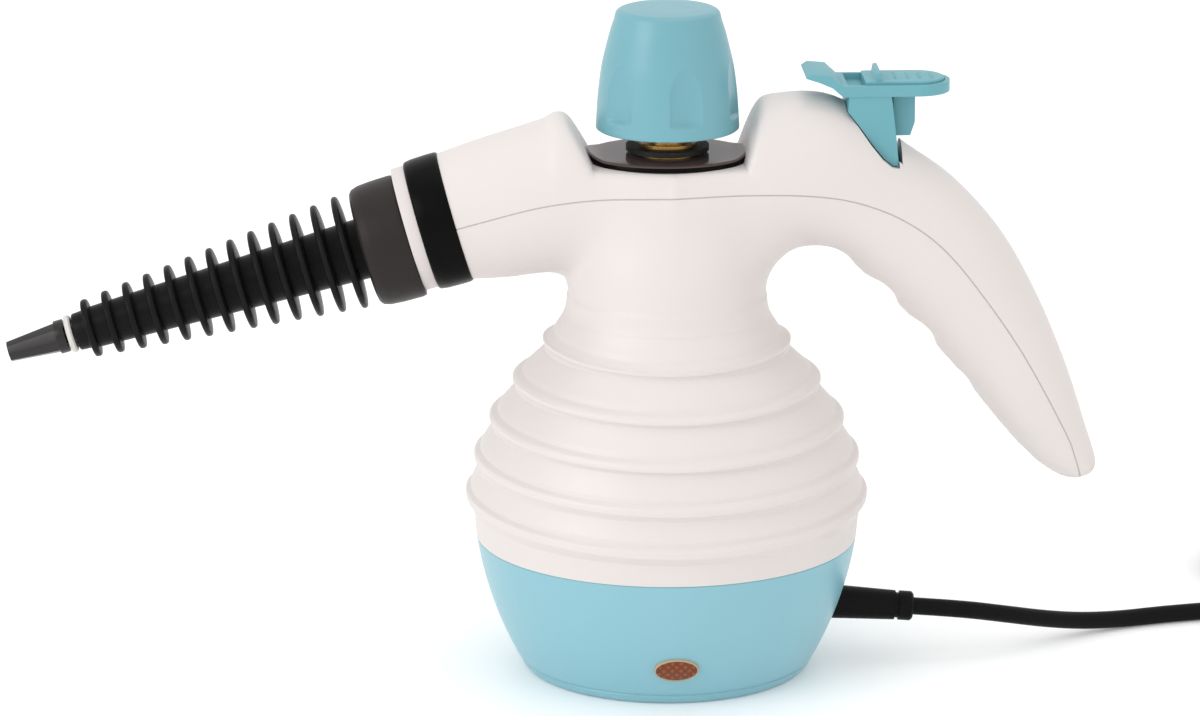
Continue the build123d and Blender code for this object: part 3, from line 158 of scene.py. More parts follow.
@dataclass(frozen=True)
class Finish:
    """A procedural material: base colour with slight variation, gloss and small relief."""

    name: str
    colour: tuple[int, int, int]
    roughness: float = 0.4
    metallic: float = 0.0
    grain: Grain = Grain.MOULDED
    relief: float = 0.05
    spread: float = 0.04
    specular: float = 0.5
    scatter: float = 0.0
    transmission: float = 0.0

    def make(self) -> Material:
        """Builds the material's node tree.

        Returns:
            The material.
        """
        material = bpy.data.materials.new(self.name)
        material.use_nodes = True
        tree = material.node_tree
        base = linear(*self.colour)
        place = node(tree, "ShaderNodeTexCoord").outputs["Object"]
        deep, pale = [(*[min(1, c * (1 + way * self.spread)) for c in base[:3]], 1)
                      for way in (-1, 1)]
        colour = self._mix(tree, self._noise(tree, place, *TEXTURE.cloud), deep, pale)
        height, depth = self._relief(tree, place)
        strength = self.relief * 10
        if self.grain is Grain.SEAMED:
            colour, height = self._seam(tree, colour, height)
            depth, strength = TEXTURE.seam_depth, 1.0
        if self.grain is Grain.PRISMS:
            shade = (*[c * TEXTURE.prism_shade for c in base[:3]], 1)
            colour = self._mix(tree, height, shade, colour)
        low, high = TEXTURE.gloss_range
        gloss = node(tree, "ShaderNodeMapRange", {
            "Value": self._noise(tree, place, *TEXTURE.gloss),
            "To Min": max(0.02, self.roughness * low), "To Max": min(1.0, self.roughness * high)})
        bump = node(tree, "ShaderNodeBump", {
            "Strength": strength, "Distance": depth * MM, "Height": height})
        feed(tree, tree.nodes["Principled BSDF"], {
            "Base Color": colour, "Roughness": gloss.outputs["Result"],
            "Normal": bump.outputs["Normal"], "Metallic": self.metallic,
            "Specular IOR Level": self.specular, "Transmission Weight": self.transmission,
            "Subsurface Weight": self.scatter, "Subsurface Radius": TEXTURE.scatter_radius,
            "Subsurface Scale": TEXTURE.scatter_scale * MM})
        return material

    @staticmethod
    def _mix(tree: Tree, share: Socket, low: tuple | Socket, high: tuple | Socket) -> Socket:
        """Output of a node that mixes two colours by a share."""
        return node(tree, "ShaderNodeMix", {0: share, 6: low, 7: high}, data_type="RGBA").outputs[2]

    @staticmethod
    def _noise(tree: Tree, place: Socket, scale: float, detail: float) -> Socket:
        """Output of a noise texture on object coordinates."""
        values = {"Vector": place, "Scale": scale, "Detail": detail}
        return node(tree, "ShaderNodeTexNoise", values).outputs["Fac"]

    def _relief(self, tree: Tree, place: Socket) -> tuple[Socket, float]:
        """Adds the height texture of the grain.

        Args:
            tree: The material's node tree.
            place: Object coordinates.

        Returns:
            The height and the relief's depth in millimetres.
        """
        if self.grain in (Grain.TURNED, Grain.BRUSHED):
            wave = node(tree, "ShaderNodeTexWave", {
                "Vector": place, "Scale": TEXTURE.turning, "Distortion": TEXTURE.turning_waver,
            }, bands_direction="Z" if self.grain is Grain.TURNED else "X")
            return wave.outputs["Fac"], TEXTURE.turning_depth
        if self.grain is Grain.PRISMS:
            ridges = []
            for turn in TEXTURE.prism_turns:
                way = node(tree, "ShaderNodeMapping", {
                    "Vector": place, "Rotation": (0, math.radians(turn), 0)})
                wave = node(tree, "ShaderNodeTexWave", {
                    "Vector": way.outputs["Vector"], "Scale": TEXTURE.prisms,
                }, bands_direction="X", wave_profile="TRI")
                ridges.append(wave.outputs["Fac"])
            lower = node(tree, "ShaderNodeMath", dict(enumerate(ridges)), operation="MINIMUM")
            return lower.outputs[0], TEXTURE.prism_depth
        scale = TEXTURE.moulded if self.grain is Grain.MOULDED else TEXTURE.plain
        return self._noise(tree, place, scale, TEXTURE.grain_detail), TEXTURE.grain_depth

    def _seam(self, tree: Tree, colour: Socket, height: Socket) -> tuple[Socket, Socket]:
        """Adds the fine groove of the parting line from the mesh's seam attribute.

        Args:
            tree: The material's node tree.
            colour: Colour before this step.
            height: Height before this step.

        Returns:
            The colour and the height after this step.
        """
        seam = node(tree, "ShaderNodeAttribute", attribute_name="seam").outputs["Fac"]
        size = node(tree, "ShaderNodeMath", {0: seam}, operation="ABSOLUTE").outputs[0]
        low, high = TEXTURE.seam_edges
        step = node(tree, "ShaderNodeMapRange", {"Value": size, "From Min": low, "From Max": high},
                    interpolation_type="SMOOTHSTEP").outputs["Result"]
        small = node(tree, "ShaderNodeMath", {0: height, 1: TEXTURE.seam_grain, 2: step},
                     operation="MULTIPLY_ADD")
        return self._mix(tree, step, linear(*TEXTURE.seam_colour), colour), small.outputs[0]


FINISHES = {
    "shell": Finish("white_shell", (214, 207, 204), 0.42, grain=Grain.SEAMED, spread=0.012,
                    scatter=0.08),
    "white": Finish("white_moulding", (208, 201, 199), 0.42, relief=0.02, spread=0.015,
                    scatter=0.08),
    "base": Finish("pale_blue_cup", (131, 181, 193), 0.32, relief=0.01, spread=0.02),
    "cap": Finish("blue_cap", (106, 161, 172), 0.34, relief=0.03, spread=0.03),
    "trigger": Finish("blue_trigger", (98, 160, 170), 0.45, relief=0.03, spread=0.03),
    "black": Finish("black_moulding", (20, 18, 18), 0.36, relief=0.03, spread=0.12, specular=0.1),
    "fin": Finish("black_fins", (22, 18, 17), 0.3, relief=0.03, spread=0.12, specular=0.4),
    "collar": Finish("black_collar", (42, 37, 36), 0.4, relief=0.03, spread=0.1, specular=0.16),
    "band": Finish("black_band", (9, 8, 8), 0.3, relief=0.01, spread=0.1, specular=0.06),
    # The plate is glossy black; this lighter brownish grey is a painted reflection for its top
    # faces.
    "plate": Finish("black_plate_painted_reflection", (84, 70, 68), 0.14, relief=0.0, spread=0.08,
                    grain=Grain.SMOOTH, specular=0.1),
    "brass": Finish("turned_brass", (196, 160, 96), 0.24, 1.0, Grain.TURNED, 0.05, 0.1),
    "copper": Finish("drawn_copper", (190, 120, 84), 0.3, 1.0, Grain.BRUSHED, 0.04, 0.1),
    "steel": Finish("bright_steel", (176, 176, 180), 0.28, 1.0, Grain.BRUSHED, 0.04, 0.08),
    "alloy": Finish("cast_alloy", (168, 168, 172), 0.5, 1.0, Grain.MOULDED, 0.15, 0.12),
    "seal": Finish("pale_seal", (206, 203, 198), 0.55, relief=0.03, spread=0.05),
    "gasket": Finish("black_gasket", (26, 25, 25), 0.6, relief=0.06, spread=0.12),
    "lens": Finish("amber_lens", (158, 78, 34), 0.14, grain=Grain.PRISMS, relief=0.03, spread=0.12,
                   specular=0.35),
    "bezel": Finish("lens_rim", (176, 158, 128), 0.25, relief=0.0, spread=0.04),
    "bulb": Finish("bulb_glass", (240, 190, 130), 0.1, grain=Grain.SMOOTH, spread=0.03,
                   transmission=0.8),
    "grey": Finish("grey_moulding", (74, 73, 74), 0.55, relief=0.06, spread=0.08),
    "cord": Finish("cord_sheath", (16, 15, 15), 0.4, relief=0.05, spread=0.12, specular=0.08),
}


def piece(name: str, points: np.ndarray, faces: Faces, material: Material | None = None,
          sharp: float = 32.0) -> Piece:
    """Makes an object at the origin, with the faces of a closed mesh turned outwards.

    Args:
        name: Name of the piece.
        points: Points in millimetres, one row each.
        faces: Point numbers of each face.
        material: Its finish, or none for a cutter.
        sharp: Edges that bend more than this many degrees are shaded sharp.

    Returns:
        The object.
    """
    mesh = bpy.data.meshes.new(name)
    mesh.from_pydata((np.asarray(points, dtype=float) * MM).tolist(), [], faces)
    mesh.validate()
    work = bmesh.new()
    work.from_mesh(mesh)
    if all(edge.is_manifold for edge in work.edges):
        bmesh.ops.recalc_face_normals(work, faces=work.faces)
        work.to_mesh(mesh)
    work.free()
    return wrap(name, mesh, material, sharp)


def wrap(name: str, mesh: bpy.types.Mesh, material: Material | None,
         sharp: float = 32.0) -> Piece:
    """Makes an object of a mesh, with smooth shading between sharp edges.

    Args:
        name: Name of the piece.
        mesh: Its mesh in metres.
        material: Its finish, or none for a cutter.
        sharp: Edges that bend more than this many degrees are shaded sharp.

    Returns:
        The object.
    """
    if material:
        mesh.shade_smooth()
        mesh.set_sharp_from_angle(angle=math.radians(sharp))
        mesh.materials.clear()
        mesh.materials.append(material)
    obj = bpy.data.objects.new(name, mesh)
    bpy.context.scene.collection.objects.link(obj)
    return obj


def angles(count: int) -> np.ndarray:
    """Angles of points spread evenly round a full turn."""
    return np.linspace(0, FULL_TURN, count, endpoint=False)


def strips(count: int, rows: int, first: int = 0, closed: bool = False) -> Faces:
    """Four-sided faces between rows of points that run round.

    Args:
        count: Points in each row.
        rows: Number of rows.
        first: Number of the first point.
        closed: Joins the last row to the first.

    Returns:
        Point numbers of each face.
    """
    faces = []
    for row in range(rows if closed else rows - 1):
        low, high = first + row * count, first + (row + 1) % rows * count
        faces += [(low + i, low + (i + 1) % count, high + (i + 1) % count, high + i)
                  for i in range(count)]
    return faces


def capped(count: int, rows: int) -> Faces:
    """Faces of a closed skin: a first point, rows that run round, and a last point.

    Args:
        count: Points in each row.
        rows: Number of rows.

    Returns:
        Point numbers of each face.
    """
    last = 1 + rows * count
    top = last - count
    around = [(i, (i + 1) % count) for i in range(count)]
    return [*[(0, 1 + j, 1 + i) for i, j in around], *strips(count, rows, 1),
            *[(top + i, top + j, last) for i, j in around]]


def rounded(points: list[Point], radius: float, steps: int = 4) -> list[Point]:
    """Rounds the inner corners of an open outline.

    Args:
        points: Corners of the outline.
        radius: Radius of the rounding where there is room for it.
        steps: Parts of each rounded corner.

    Returns:
        The new outline.
    """
    out = [points[0]]
    for before, here, after in zip(points, points[1:], points[2:]):
        here = np.array(here)
        a, b = np.array(before) - here, np.array(after) - here
        la, lb = np.linalg.norm(a), np.linalg.norm(b)
        reach = min(radius, CORNER_SHARE * la, CORNER_SHARE * lb)
        start, end = here + a / la * reach, here + b / lb * reach
        for t in [step / steps for step in range(steps + 1)]:
            out.append(tuple((1 - t) ** 2 * start + 2 * t * (1 - t) * here + t * t * end))
    return out + [points[-1]]


def sleeve(outline: tuple, radius: float, place: Matrix) -> tuple[np.ndarray, Faces]:
    """Turns a closed outline with rounded corners about an axis.

    Args:
        outline: Radius and height of each corner.
        radius: Radius of the rounding.
        place: Where the local frame goes, in millimetres.

    Returns:
        Points and faces.
    """
    line = rounded([*outline, outline[0]], radius, 2)[:-1]
    return lathe(line, SLEEVE_PARTS, place, closed=True)


def lathe(outline: list[Point], count: int = 128, place: Matrix | None = None,
          closed: bool = False) -> tuple[np.ndarray, Faces]:
    """Turns an outline about the local Z axis.

    Args:
        outline: Radius and height of each point, going up on the outer wall.
        count: Number of parts round the axis.
        place: Where the local frame goes, in millimetres.
        closed: Joins the last point to the first, for a ring.

    Returns:
        Points and faces.
    """
    points, rows, faces = [], [], []
    for radius, height in outline:
        here = angles(count)[:count if radius > LEAST_RADIUS else 1]
        rows.append(range(len(points), len(points) + len(here)))
        points += [(radius * math.cos(t), radius * math.sin(t), height) for t in here]
    for low, high in zip(rows, rows[1:] + (rows[:1] if closed else [])):
        for i in range(count):
            pair = [(row[i % len(row)], row[(i + 1) % count % len(row)]) for row in (low, high)]
            faces.append(tuple(dict.fromkeys((*pair[0], *pair[1][::-1]))))
    grid = np.array(points)
    if place is not None:
        grid = grid @ np.array(place.to_3x3()).T + np.array(place.translation)
    return grid, faces


def prism(outline: list[Point], low: float, high: float) -> Piece:
    """Makes a cutter with a side-view outline.

    Args:
        outline: Its corners as x and z.
        low, high: Its lowest and highest y.

    Returns:
        The cutter.
    """
    count = len(outline)
    points = np.array([(x, y, z) for y in (low, high) for x, z in outline])
    ends = [tuple(range(count)), tuple(range(2 * count - 1, count - 1, -1))]
    return piece("cut", points, ends + strips(count, 2))


def bar(x: float, y: float, radius: float, low: float, high: float) -> Piece:
    """Makes an upright round cutter.

    Args:
        x, y: Place of its axis.
        radius: Its radius.
        low, high: Heights of its foot and its top.

    Returns:
        The cutter.
    """
    line = [(0, low), (radius, low), (radius, high), (0, high)]
    place = Matrix.Translation((x, y, 0))
    return piece("cut", *lathe(line, CUTTER_PARTS, place))


def refined(source: str, name: str, material: Material, bevel: float) -> Piece:
    """A copy of a frame node with merged points and rounded edges.

    Args:
        source: Name of the node.
        name: Name of the new piece.
        material: Its finish.
        bevel: Width of the rounding in millimetres.

    Returns:
        The new object.
    """
    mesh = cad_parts[source].data.copy()
    work = bmesh.new()
    work.from_mesh(mesh)
    bmesh.ops.remove_doubles(work, verts=work.verts, dist=TIDY_DISTANCE)
    bmesh.ops.dissolve_limit(work, angle_limit=FLAT_ANGLE, verts=work.verts,
                             edges=work.edges)
    work.to_mesh(mesh)
    work.free()
    holder = wrap(name + "_draft", mesh, material, EDGE_ANGLE)
    modifier = holder.modifiers.new("edges", "BEVEL")
    modifier.width = bevel * MM
    modifier.segments = EDGE_STEPS
    modifier.limit_method = "ANGLE"
    modifier.angle_limit = math.radians(EDGE_ANGLE)
    modifier.use_clamp_overlap = True
    return settled(holder, name, material, BEVELLED_ANGLE)


def settled(holder: Piece, name: str, material: Material, sharp: float) -> Piece:
    """Turns an object with modifiers into a plain mesh piece and removes the draft.

    Args:
        holder: The object with its modifiers.
        name: Name of the new piece.
        material: Its finish.
        sharp: Edges that bend more than this many degrees are shaded sharp.

    Returns:
        The plain object.
    """
    bpy.context.view_layer.update()
    graph = bpy.context.evaluated_depsgraph_get()
    mesh = bpy.data.meshes.new_from_object(holder.evaluated_get(graph))
    mesh.name = name
    bpy.data.objects.remove(holder)
    return wrap(name, mesh, material, sharp)


def between(rows: tuple, steps: int) -> np.ndarray:
    """Further rows between those of a table, on smooth curves through the given ones.

    Args:
        rows: The table.
        steps: Parts between two given rows.

    Returns:
        The finer table.
    """
    given = np.array(rows, dtype=float)
    last = len(given) - 1
    out = []
    for k in range(last):
        a, b, c, d = given[max(k - 1, 0)], given[k], given[k + 1], given[min(k + 2, last)]
        for t in [part / steps for part in range(steps)]:
            out.append((2 * b + (c - a) * t + (2 * a - 5 * b + 4 * c - d) * t ** 2
                        + (3 * b - a - 3 * c + d) * t ** 3) / 2)
    return np.array(out + [given[-1]])


def oval(u: np.ndarray, v: np.ndarray, a: np.ndarray, b: np.ndarray) -> np.ndarray:
    """Signed distance, nearly, to an ellipse.

    Args:
        u, v: Places along its two axes.
        a, b: Half sizes along them.

    Returns:
        The distance, negative inside.
    """
    size = np.sqrt((u / a) ** 2 + (v / b) ** 2) + 1e-9
    slope = np.sqrt((u / a ** 2) ** 2 + (v / b ** 2) ** 2) / size + 1e-9
    return (size - 1) / slope


def joined(one: np.ndarray, two: np.ndarray, blend: float | np.ndarray) -> np.ndarray:
    """Smooth union of two distances.

    Args:
        one, two: The distances.
        blend: Width of the blend in millimetres.

    Returns:
        The joined distance.
    """
    share = np.maximum(blend - np.abs(one - two), 0) / blend
    return np.minimum(one, two) - share ** 3 * blend / 6


def dress(name: str, material: Material) -> None:
    """Gives a frame node its finish.

    Args:
        name: Name of the node.
        material: Its finish.
    """
    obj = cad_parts[name]
    if not obj.material_slots:
        obj.data.materials.append(material)
    for slot in obj.material_slots:
        slot.material = material


def stand_for(piece: Piece, body: str, slot: str, *nodes: str) -> None:
    """Hangs a piece on its body, hides the nodes that it stands for and logs its size.

    Args:
        piece: The piece.
        body: Name of the body that it rides on.
        slot: Not used.
        nodes: Names of the nodes that it replaces.
    """
    if nodes:
        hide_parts(*nodes)
    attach(piece, body)
    count = len(getattr(piece.data, "polygons", []))
    LOG.info("%s rides on %s with %d faces", piece.name, body, count)


@dataclass
class Assembly:
    """A sub-assembly, which makes its pieces with the finishes that it is given."""

    looks: dict[str, Material]

    def build(self) -> None:
        raise NotImplementedError


@dataclass
class Studio:
    """Camera, floor, backdrop and soft lights."""

    FOCUS = 5690.41
    OFF_MIDDLE = 69
    PICTURE_WIDTH = 1200
    SENSOR = 36

    camera_place: Place = (-116.2, -1796.2, 590.8)
    pitch: float = 0.264323
    pan: float = -math.atan(OFF_MIDDLE / FOCUS)
    turn: float = -3.7
    clip: Point = (0.05, 50.0)
    floor_half: float = 6000.0
    floor_height: float = -0.05
    floor_glow: float = 0.1
    lights: tuple = (("key", (-1.6, -1.1, 1.1), 1.2, 13.0), ("fill", (1.3, -1.2, 0.8), 1.2, 1.3),
                     ("top", (0.1, 0.1, 1.7), 1.4, 3.4))
    aim: Place = (0.0, 0.0, 0.1)

    def build(self) -> None:
        """Adds the camera, the floor and the lights."""
        self._camera()
        self._floor()
        self._lights()

    def _camera(self) -> None:
        """Places the camera where the photograph was taken."""
        data = bpy.data.cameras.new("view")
        data.lens = self.SENSOR * self.FOCUS / self.PICTURE_WIDTH
        data.sensor_width = self.SENSOR
        data.clip_start, data.clip_end = self.clip
        camera = bpy.data.objects.new("view", data)
        camera.location = Vector(self.camera_place) * MM
        ahead = Vector((math.sin(self.pan) * math.cos(self.pitch),
                        math.cos(self.pan) * math.cos(self.pitch), -math.sin(self.pitch)))
        ahead = Matrix.Rotation(math.radians(self.turn), 3, "Z") @ ahead
        camera.rotation_euler = ahead.to_track_quat("-Z", "Y").to_euler()
        bpy.context.scene.collection.objects.link(camera)
        bpy.context.scene.camera = camera

    def _floor(self) -> None:
        """Makes the pale floor, which glows a little so that shadows stay soft."""
        half, pale = self.floor_half, Finish("pale_floor", (250, 250, 250), 0.5,
                                             grain=Grain.SMOOTH, relief=0.0, spread=0.004).make()
        feed(pale.node_tree, pale.node_tree.nodes["Principled BSDF"], {
            "Emission Color": (1.0, 1.0, 1.0, 1.0), "Emission Strength": self.floor_glow})
        corners = [(x, y, self.floor_height)
                   for x, y in ((-half, -half), (half, -half), (half, half), (-half, half))]
        piece("floor", np.array(corners), [(0, 1, 2, 3)], pale)

    def _lights(self) -> None:
        """Adds the sky and the soft boxes."""
        scene = bpy.context.scene
        scene.view_settings.view_transform = "Standard"
        world = bpy.data.worlds.new("studio")
        world.use_nodes = True
        feed(world.node_tree, world.node_tree.nodes["Background"], {
            "Color": (1.0, 1.0, 1.0, 1.0), "Strength": 1.0})
        scene.world = world
        for name, place, size, power in self.lights:
            data = bpy.data.lights.new(name, "AREA")
            data.size, data.energy = size, power
            light = bpy.data.objects.new(name, data)
            light.location = place
            aim = Vector(self.aim) - Vector(place)
            light.rotation_euler = aim.to_track_quat("-Z", "Y").to_euler()
            scene.collection.objects.link(light)


@dataclass
class Housing(Assembly):
    """White shells: the stepped belly, and the neck, spout and handle as one joined skin."""

    seam_radius: float = 62.65
    seam_height: float = 44.7
    belly_radius: float = 66.0
    belly_height: float = 58.5
    ring_pitch: float = 13.0
    ring_shares: tuple = (1.0, 0.959, 0.882, 0.765, 0.614)
    riser_shares: tuple = (0.37, 0.3, 0.24, 0.24, 0.24)
    tuck_shares: tuple = (0.034, 0.015, 0.011, 0.008, 0.005)
    sag_share: float = 0.05
    lip: float = 0.75
    lip_dip: float = 0.5
    lip_rises: tuple = (1.7, 2.5, 4.0)
    skirt_dip: Point = (2.2, 1.0)
    under_tuck: float = 0.25
    ring_edge: tuple = ((-0.35, -1.3), (0.05, -0.5), (0.05, 0.7))
    ring_round: float = 0.28
    front_shut: float = 1.7
    belly_parts: int = 320
    skirt_parts: int = 18
    belly_end: Point = (0.4, 0.6)
    belly_angle: float = 24.0
    skin_angle: float = 30.0
    neck_radius: float = 32.5
    neck_height: float = 125.5
    neck_bore: float = 9.3
    deck_height: float = 171.0
    deck_half: Point = (28.0, 23.0)
    crest_height: float = 192.3
    half_width: float = 22.0
    handle_reach: float = 142.0
    spout_reach: float = 69.5
    spout_height: float = 152.3
    spout_radius: float = 21.1
    spout_end: float = 0.6
    spout_taper: float = 0.15
    nozzle_slope: float = 16.0
    cut_height: float = 119.0
    cut_reach: float = 55.0
    cut_margin: float = 6.0
    column_margins: Point = (3.0, 4.0)
    tube_start: float = 6.0
    tube_parts: int = 4
    neck_parts: int = 6
    parting_parts: int = 12
    step: float = 1.0
    net_box: tuple = ((-81.5, 149.0), (-49.5, 50.0), (60.5, 198.0))
    probe: float = 0.15
    settle_rounds: int = 2
    settle_share: float = 0.5
    least_slope: float = 0.25
    join: float = 10.0
    arch: Point = (35.0, 139.0)
    arch_reach: float = 14.0
    arch_join: float = 16.0
    flare_slope: float = 0.85
    flare_join: float = 2.0
    valley_join: float = 5.0
    neck_rows: tuple = ((-0.2, 0.97, 0.97), (0.05, 0.97, 0.95), (0.3, 0.96, 0.83),
                        (0.65, 0.88, 0.4), (1.0, 0.0, 0.0))
    handle_rows: tuple = (
        (0.070, 0.728, 0.070, 0.978, 1.00), (0.225, 0.733, 0.211, 0.994, 0.99),
        (0.324, 0.735, 0.335, 1.000, 0.93), (0.405, 0.716, 0.426, 0.976, 0.855),
        (0.465, 0.678, 0.546, 0.910, 0.786), (0.532, 0.632, 0.656, 0.851, 0.741),
        (0.611, 0.568, 0.768, 0.758, 0.695), (0.690, 0.498, 0.856, 0.643, 0.632),
        (0.776, 0.418, 0.926, 0.520, 0.545), (0.848, 0.359, 0.973, 0.415, 0.436),
        (0.912, 0.325, 1.000, 0.351, 0.286), (0.951, 0.317, 0.992, 0.327, 0.118))
    spout_rows: tuple = (
        (0.115, 0.697, 0.115, 0.972, 1.02), (0.475, 0.696, 0.482, 0.972, 1.01),
        (0.590, 0.695, 0.590, 0.957, 1.00), (0.734, 0.689, 0.820, 0.931, 0.985))
    parting: tuple = (
        (-0.634, 0.765), (-0.451, 0.803), (-0.292, 0.833), (-0.155, 0.845), (0.0, 0.849),
        (0.169, 0.849), (0.306, 0.845), (0.423, 0.830), (0.535, 0.795), (0.630, 0.741),
        (0.725, 0.654), (0.820, 0.549), (0.917, 0.416), (0.946, 0.363), (0.975, 0.290))
    valley: tuple = ((-0.173, 0.889), (-0.255, 1.003), (0.169, 0.889), (0.215, 1.003))
    fingers: tuple = ((0.408, 0.722, 0.5), (0.4995, 0.660, 1.7), (0.590, 0.588, 1.7),
                      (0.683, 0.504, 0.9))
    finger_radius: float = 12.0
    finger_join: float = 1.0
    fin_front: tuple = ((58.0, 192.8), (57.8, 187.7), (61.4, 183.1), (65.6, 177.1),
                        (69.4, 172.4), (72.3, 170.0))
    fin_tip: Point = (74.4, 169.5)
    fin_rear: tuple = ((73.5, 179.1), (71.8, 192.8))
    fin_gap: float = 0.25
    fin_room: float = 20.0
    pocket_sink: float = 1.4
    pocket_rear: Point = (1.2, 2.2)
    room: tuple = ((56.0, 147.0), (79.0, 147.0), (79.0, 163.0), (70.0, 171.0), (60.0, 178.0),
                   (56.0, 178.0))
    opening_halves: tuple = (44.0, 11.0, 11.05)
    screw_wells: tuple = ((-43.0, 13.0, 110.0, 142.0), (94.0, 0.0, 80.0, 112.0),
                          (119.0, 0.0, 55.0, 88.0))
    well_radius: float = 2.98
    well_head: float = 2.0

    def _sections(self, rows: tuple, reach: float) -> np.ndarray:
        """Oval sections of a tube in millimetres, on smooth curves through the given ones.

        Args:
            rows: Low point, top point and half width of each section, as shares.
            reach: Length that the shares along X are of.

        Returns:
            The sections.
        """
        sizes = np.array([1, self.crest_height, 1, self.crest_height, self.half_width])
        return between(rows, self.tube_parts) * sizes * np.array([reach, 1, reach, 1, 1])

    def _tube(self, x: np.ndarray, y: np.ndarray, z: np.ndarray, rows: np.ndarray,
              sign: float) -> np.ndarray:
        """Signed distance, nearly, to a tube through oval sections.

        Args:
            x, y, z: Places in millimetres.
            rows: Low point, top point and half width of each section.
            sign: 1 when the tube runs towards +X, -1 towards -X.

        Returns:
            The distance, negative inside.
        """
        low, top, wide = rows[:, 0:2], rows[:, 2:4], rows[:, 4]
        middle = (low + top) / 2
        half = np.linalg.norm(top - low, axis=1) / 2
        up = (top - low) / (2 * half[:, None])
        ahead = np.stack([up[:, 1], -up[:, 0]], 1) * sign
        flat_x, flat_z = x.ravel(), z.ravel()
        side = ((flat_x[None] - middle[:, :1]) * ahead[:, :1]
                + (flat_z[None] - middle[:, 1:]) * ahead[:, 1:])
        past = side <= 0
        index = np.clip(np.where(past.any(0), past.argmax(0), len(rows) - 1), 1, len(rows) - 1)
        pick = np.arange(len(flat_x))
        before, after = side[index - 1, pick], side[index, pick]
        run = before - after
        share = np.clip(before / np.where(np.abs(run) < 1e-9, 1e-9, run), 0, 1)
        place, way = [table[index - 1] * (1 - share[:, None]) + table[index] * share[:, None]
                      for table in (middle, up)]
        tall, broad = [table[index - 1] * (1 - share) + table[index] * share
                       for table in (half, wide)]
        rise = (flat_x - place[:, 0]) * way[:, 0] + (flat_z - place[:, 1]) * way[:, 1]
        beyond = np.maximum(side[-1], -side[0] - self.tube_start)
        rise, tall, broad, beyond = (v.reshape(x.shape) for v in (rise, tall, broad, beyond))
        return np.maximum(oval(rise, y, tall, broad), beyond)

    def skirt_radius(self, height: np.ndarray, front: np.ndarray) -> np.ndarray:
        """Radius of the flare above the last ring.

        Args:
            height: Height in millimetres.
            front: Squared sine of the angle from the X axis.

        Returns:
            The radius.
        """
        last = self.belly_height + 4 * self.ring_pitch
        top = self.belly_radius * self.ring_shares[-1]
        sag = self.sag_share * top * front
        left = np.maximum((self.neck_height - height) / (self.neck_height - last + sag), 0)
        return self.neck_radius + (top - self.neck_radius) * left ** 2

    def skin(self, x: np.ndarray, y: np.ndarray, z: np.ndarray) -> np.ndarray:
        """Signed distance, nearly, to the neck, spout, handle and flare.

        Args:
            x, y, z: Places in millimetres.

        Returns:
            The distance, negative inside.
        """
        below, above = self.column_margins
        foot = self.cut_height - below - z
        reach_out = np.hypot(x, y)
        flare = self.skirt_radius(z, (y / np.maximum(reach_out, 1e-6)) ** 2)
        flare = np.maximum((reach_out - flare) * self.flare_slope,
                           np.maximum(z - self.neck_height, foot))
        rows = between(self.neck_rows, self.neck_parts)
        share = (z - self.neck_height) / (self.deck_height - self.neck_height)
        share = np.clip(share, self.neck_rows[0][0], 1)
        half_long, half_wide = [
            half + (self.neck_radius - half) * np.interp(share, rows[:, 0], rows[:, column])
            for half, column in zip(self.deck_half, (1, 2))]
        column = np.maximum(oval(x, y, half_long, half_wide),
                            np.maximum(z - self.deck_height - above, foot))
        near = np.exp(-((x - self.arch[0]) ** 2 + (z - self.arch[1]) ** 2) / self.arch_reach ** 2)
        body = joined(column, self._spout(x, y, z), self.join)
        body = joined(body, self._grip(x, y, z), self.join + self.arch_join * near)
        body = joined(body, flare, self.flare_join)
        ends = [(p * self.handle_reach, q * self.crest_height) for p, q in self.valley]
        trough = self.deck_height - z
        for side, (ax, az), (bx, bz) in ((-1, *ends[:2]), (1, *ends[2:])):
            size = math.hypot(bx - ax, bz - az)
            trough = np.maximum(trough, side * (x - ax) * (bz - az) / size
                                - (z - az) * (side * (bx - ax)) / size)
        body = -joined(-body, trough, self.valley_join)
        return np.maximum(body, self.neck_bore - reach_out)

    def _grip(self, x: np.ndarray, y: np.ndarray, z: np.ndarray) -> np.ndarray:
        """Signed distance, nearly, to the handle with its finger hollows.

        Args:
            x, y, z: Places in millimetres.

        Returns:
            The distance, negative inside.
        """
        grip = self._tube(x, y, z, self._sections(self.handle_rows, self.handle_reach), 1)
        for fx, fz, depth in self.fingers:
            off = (self.finger_radius - depth) * math.sqrt(0.5)
            reach = np.hypot(x - fx * self.handle_reach + off, z - fz * self.crest_height + off)
            grip = -joined(-grip, reach - self.finger_radius, self.finger_join)
        return grip

    def _spout(self, x: np.ndarray, y: np.ndarray, z: np.ndarray) -> np.ndarray:
        """Signed distance, nearly, to the spout, which ends square to the nozzle.

        Args:
            x, y, z: Places in millimetres.

        Returns:
            The distance, negative inside.
        """
        rows = self._sections(self.spout_rows, -self.spout_reach)
        slope, radius = math.radians(self.nozzle_slope), self.spout_radius
        rise, out = radius * math.sin(slope), radius * math.cos(slope)
        ends = []
        for past in (0.0, self.spout_end):
            cx = -self.spout_reach - past * math.cos(slope)
            cz = self.spout_height - past * math.sin(slope)
            ends.append((cx + rise, cz - out, cx - rise, cz + out,
                         radius - past * self.spout_taper))
        return self._tube(x, y, z, np.vstack([rows, ends]), -1)

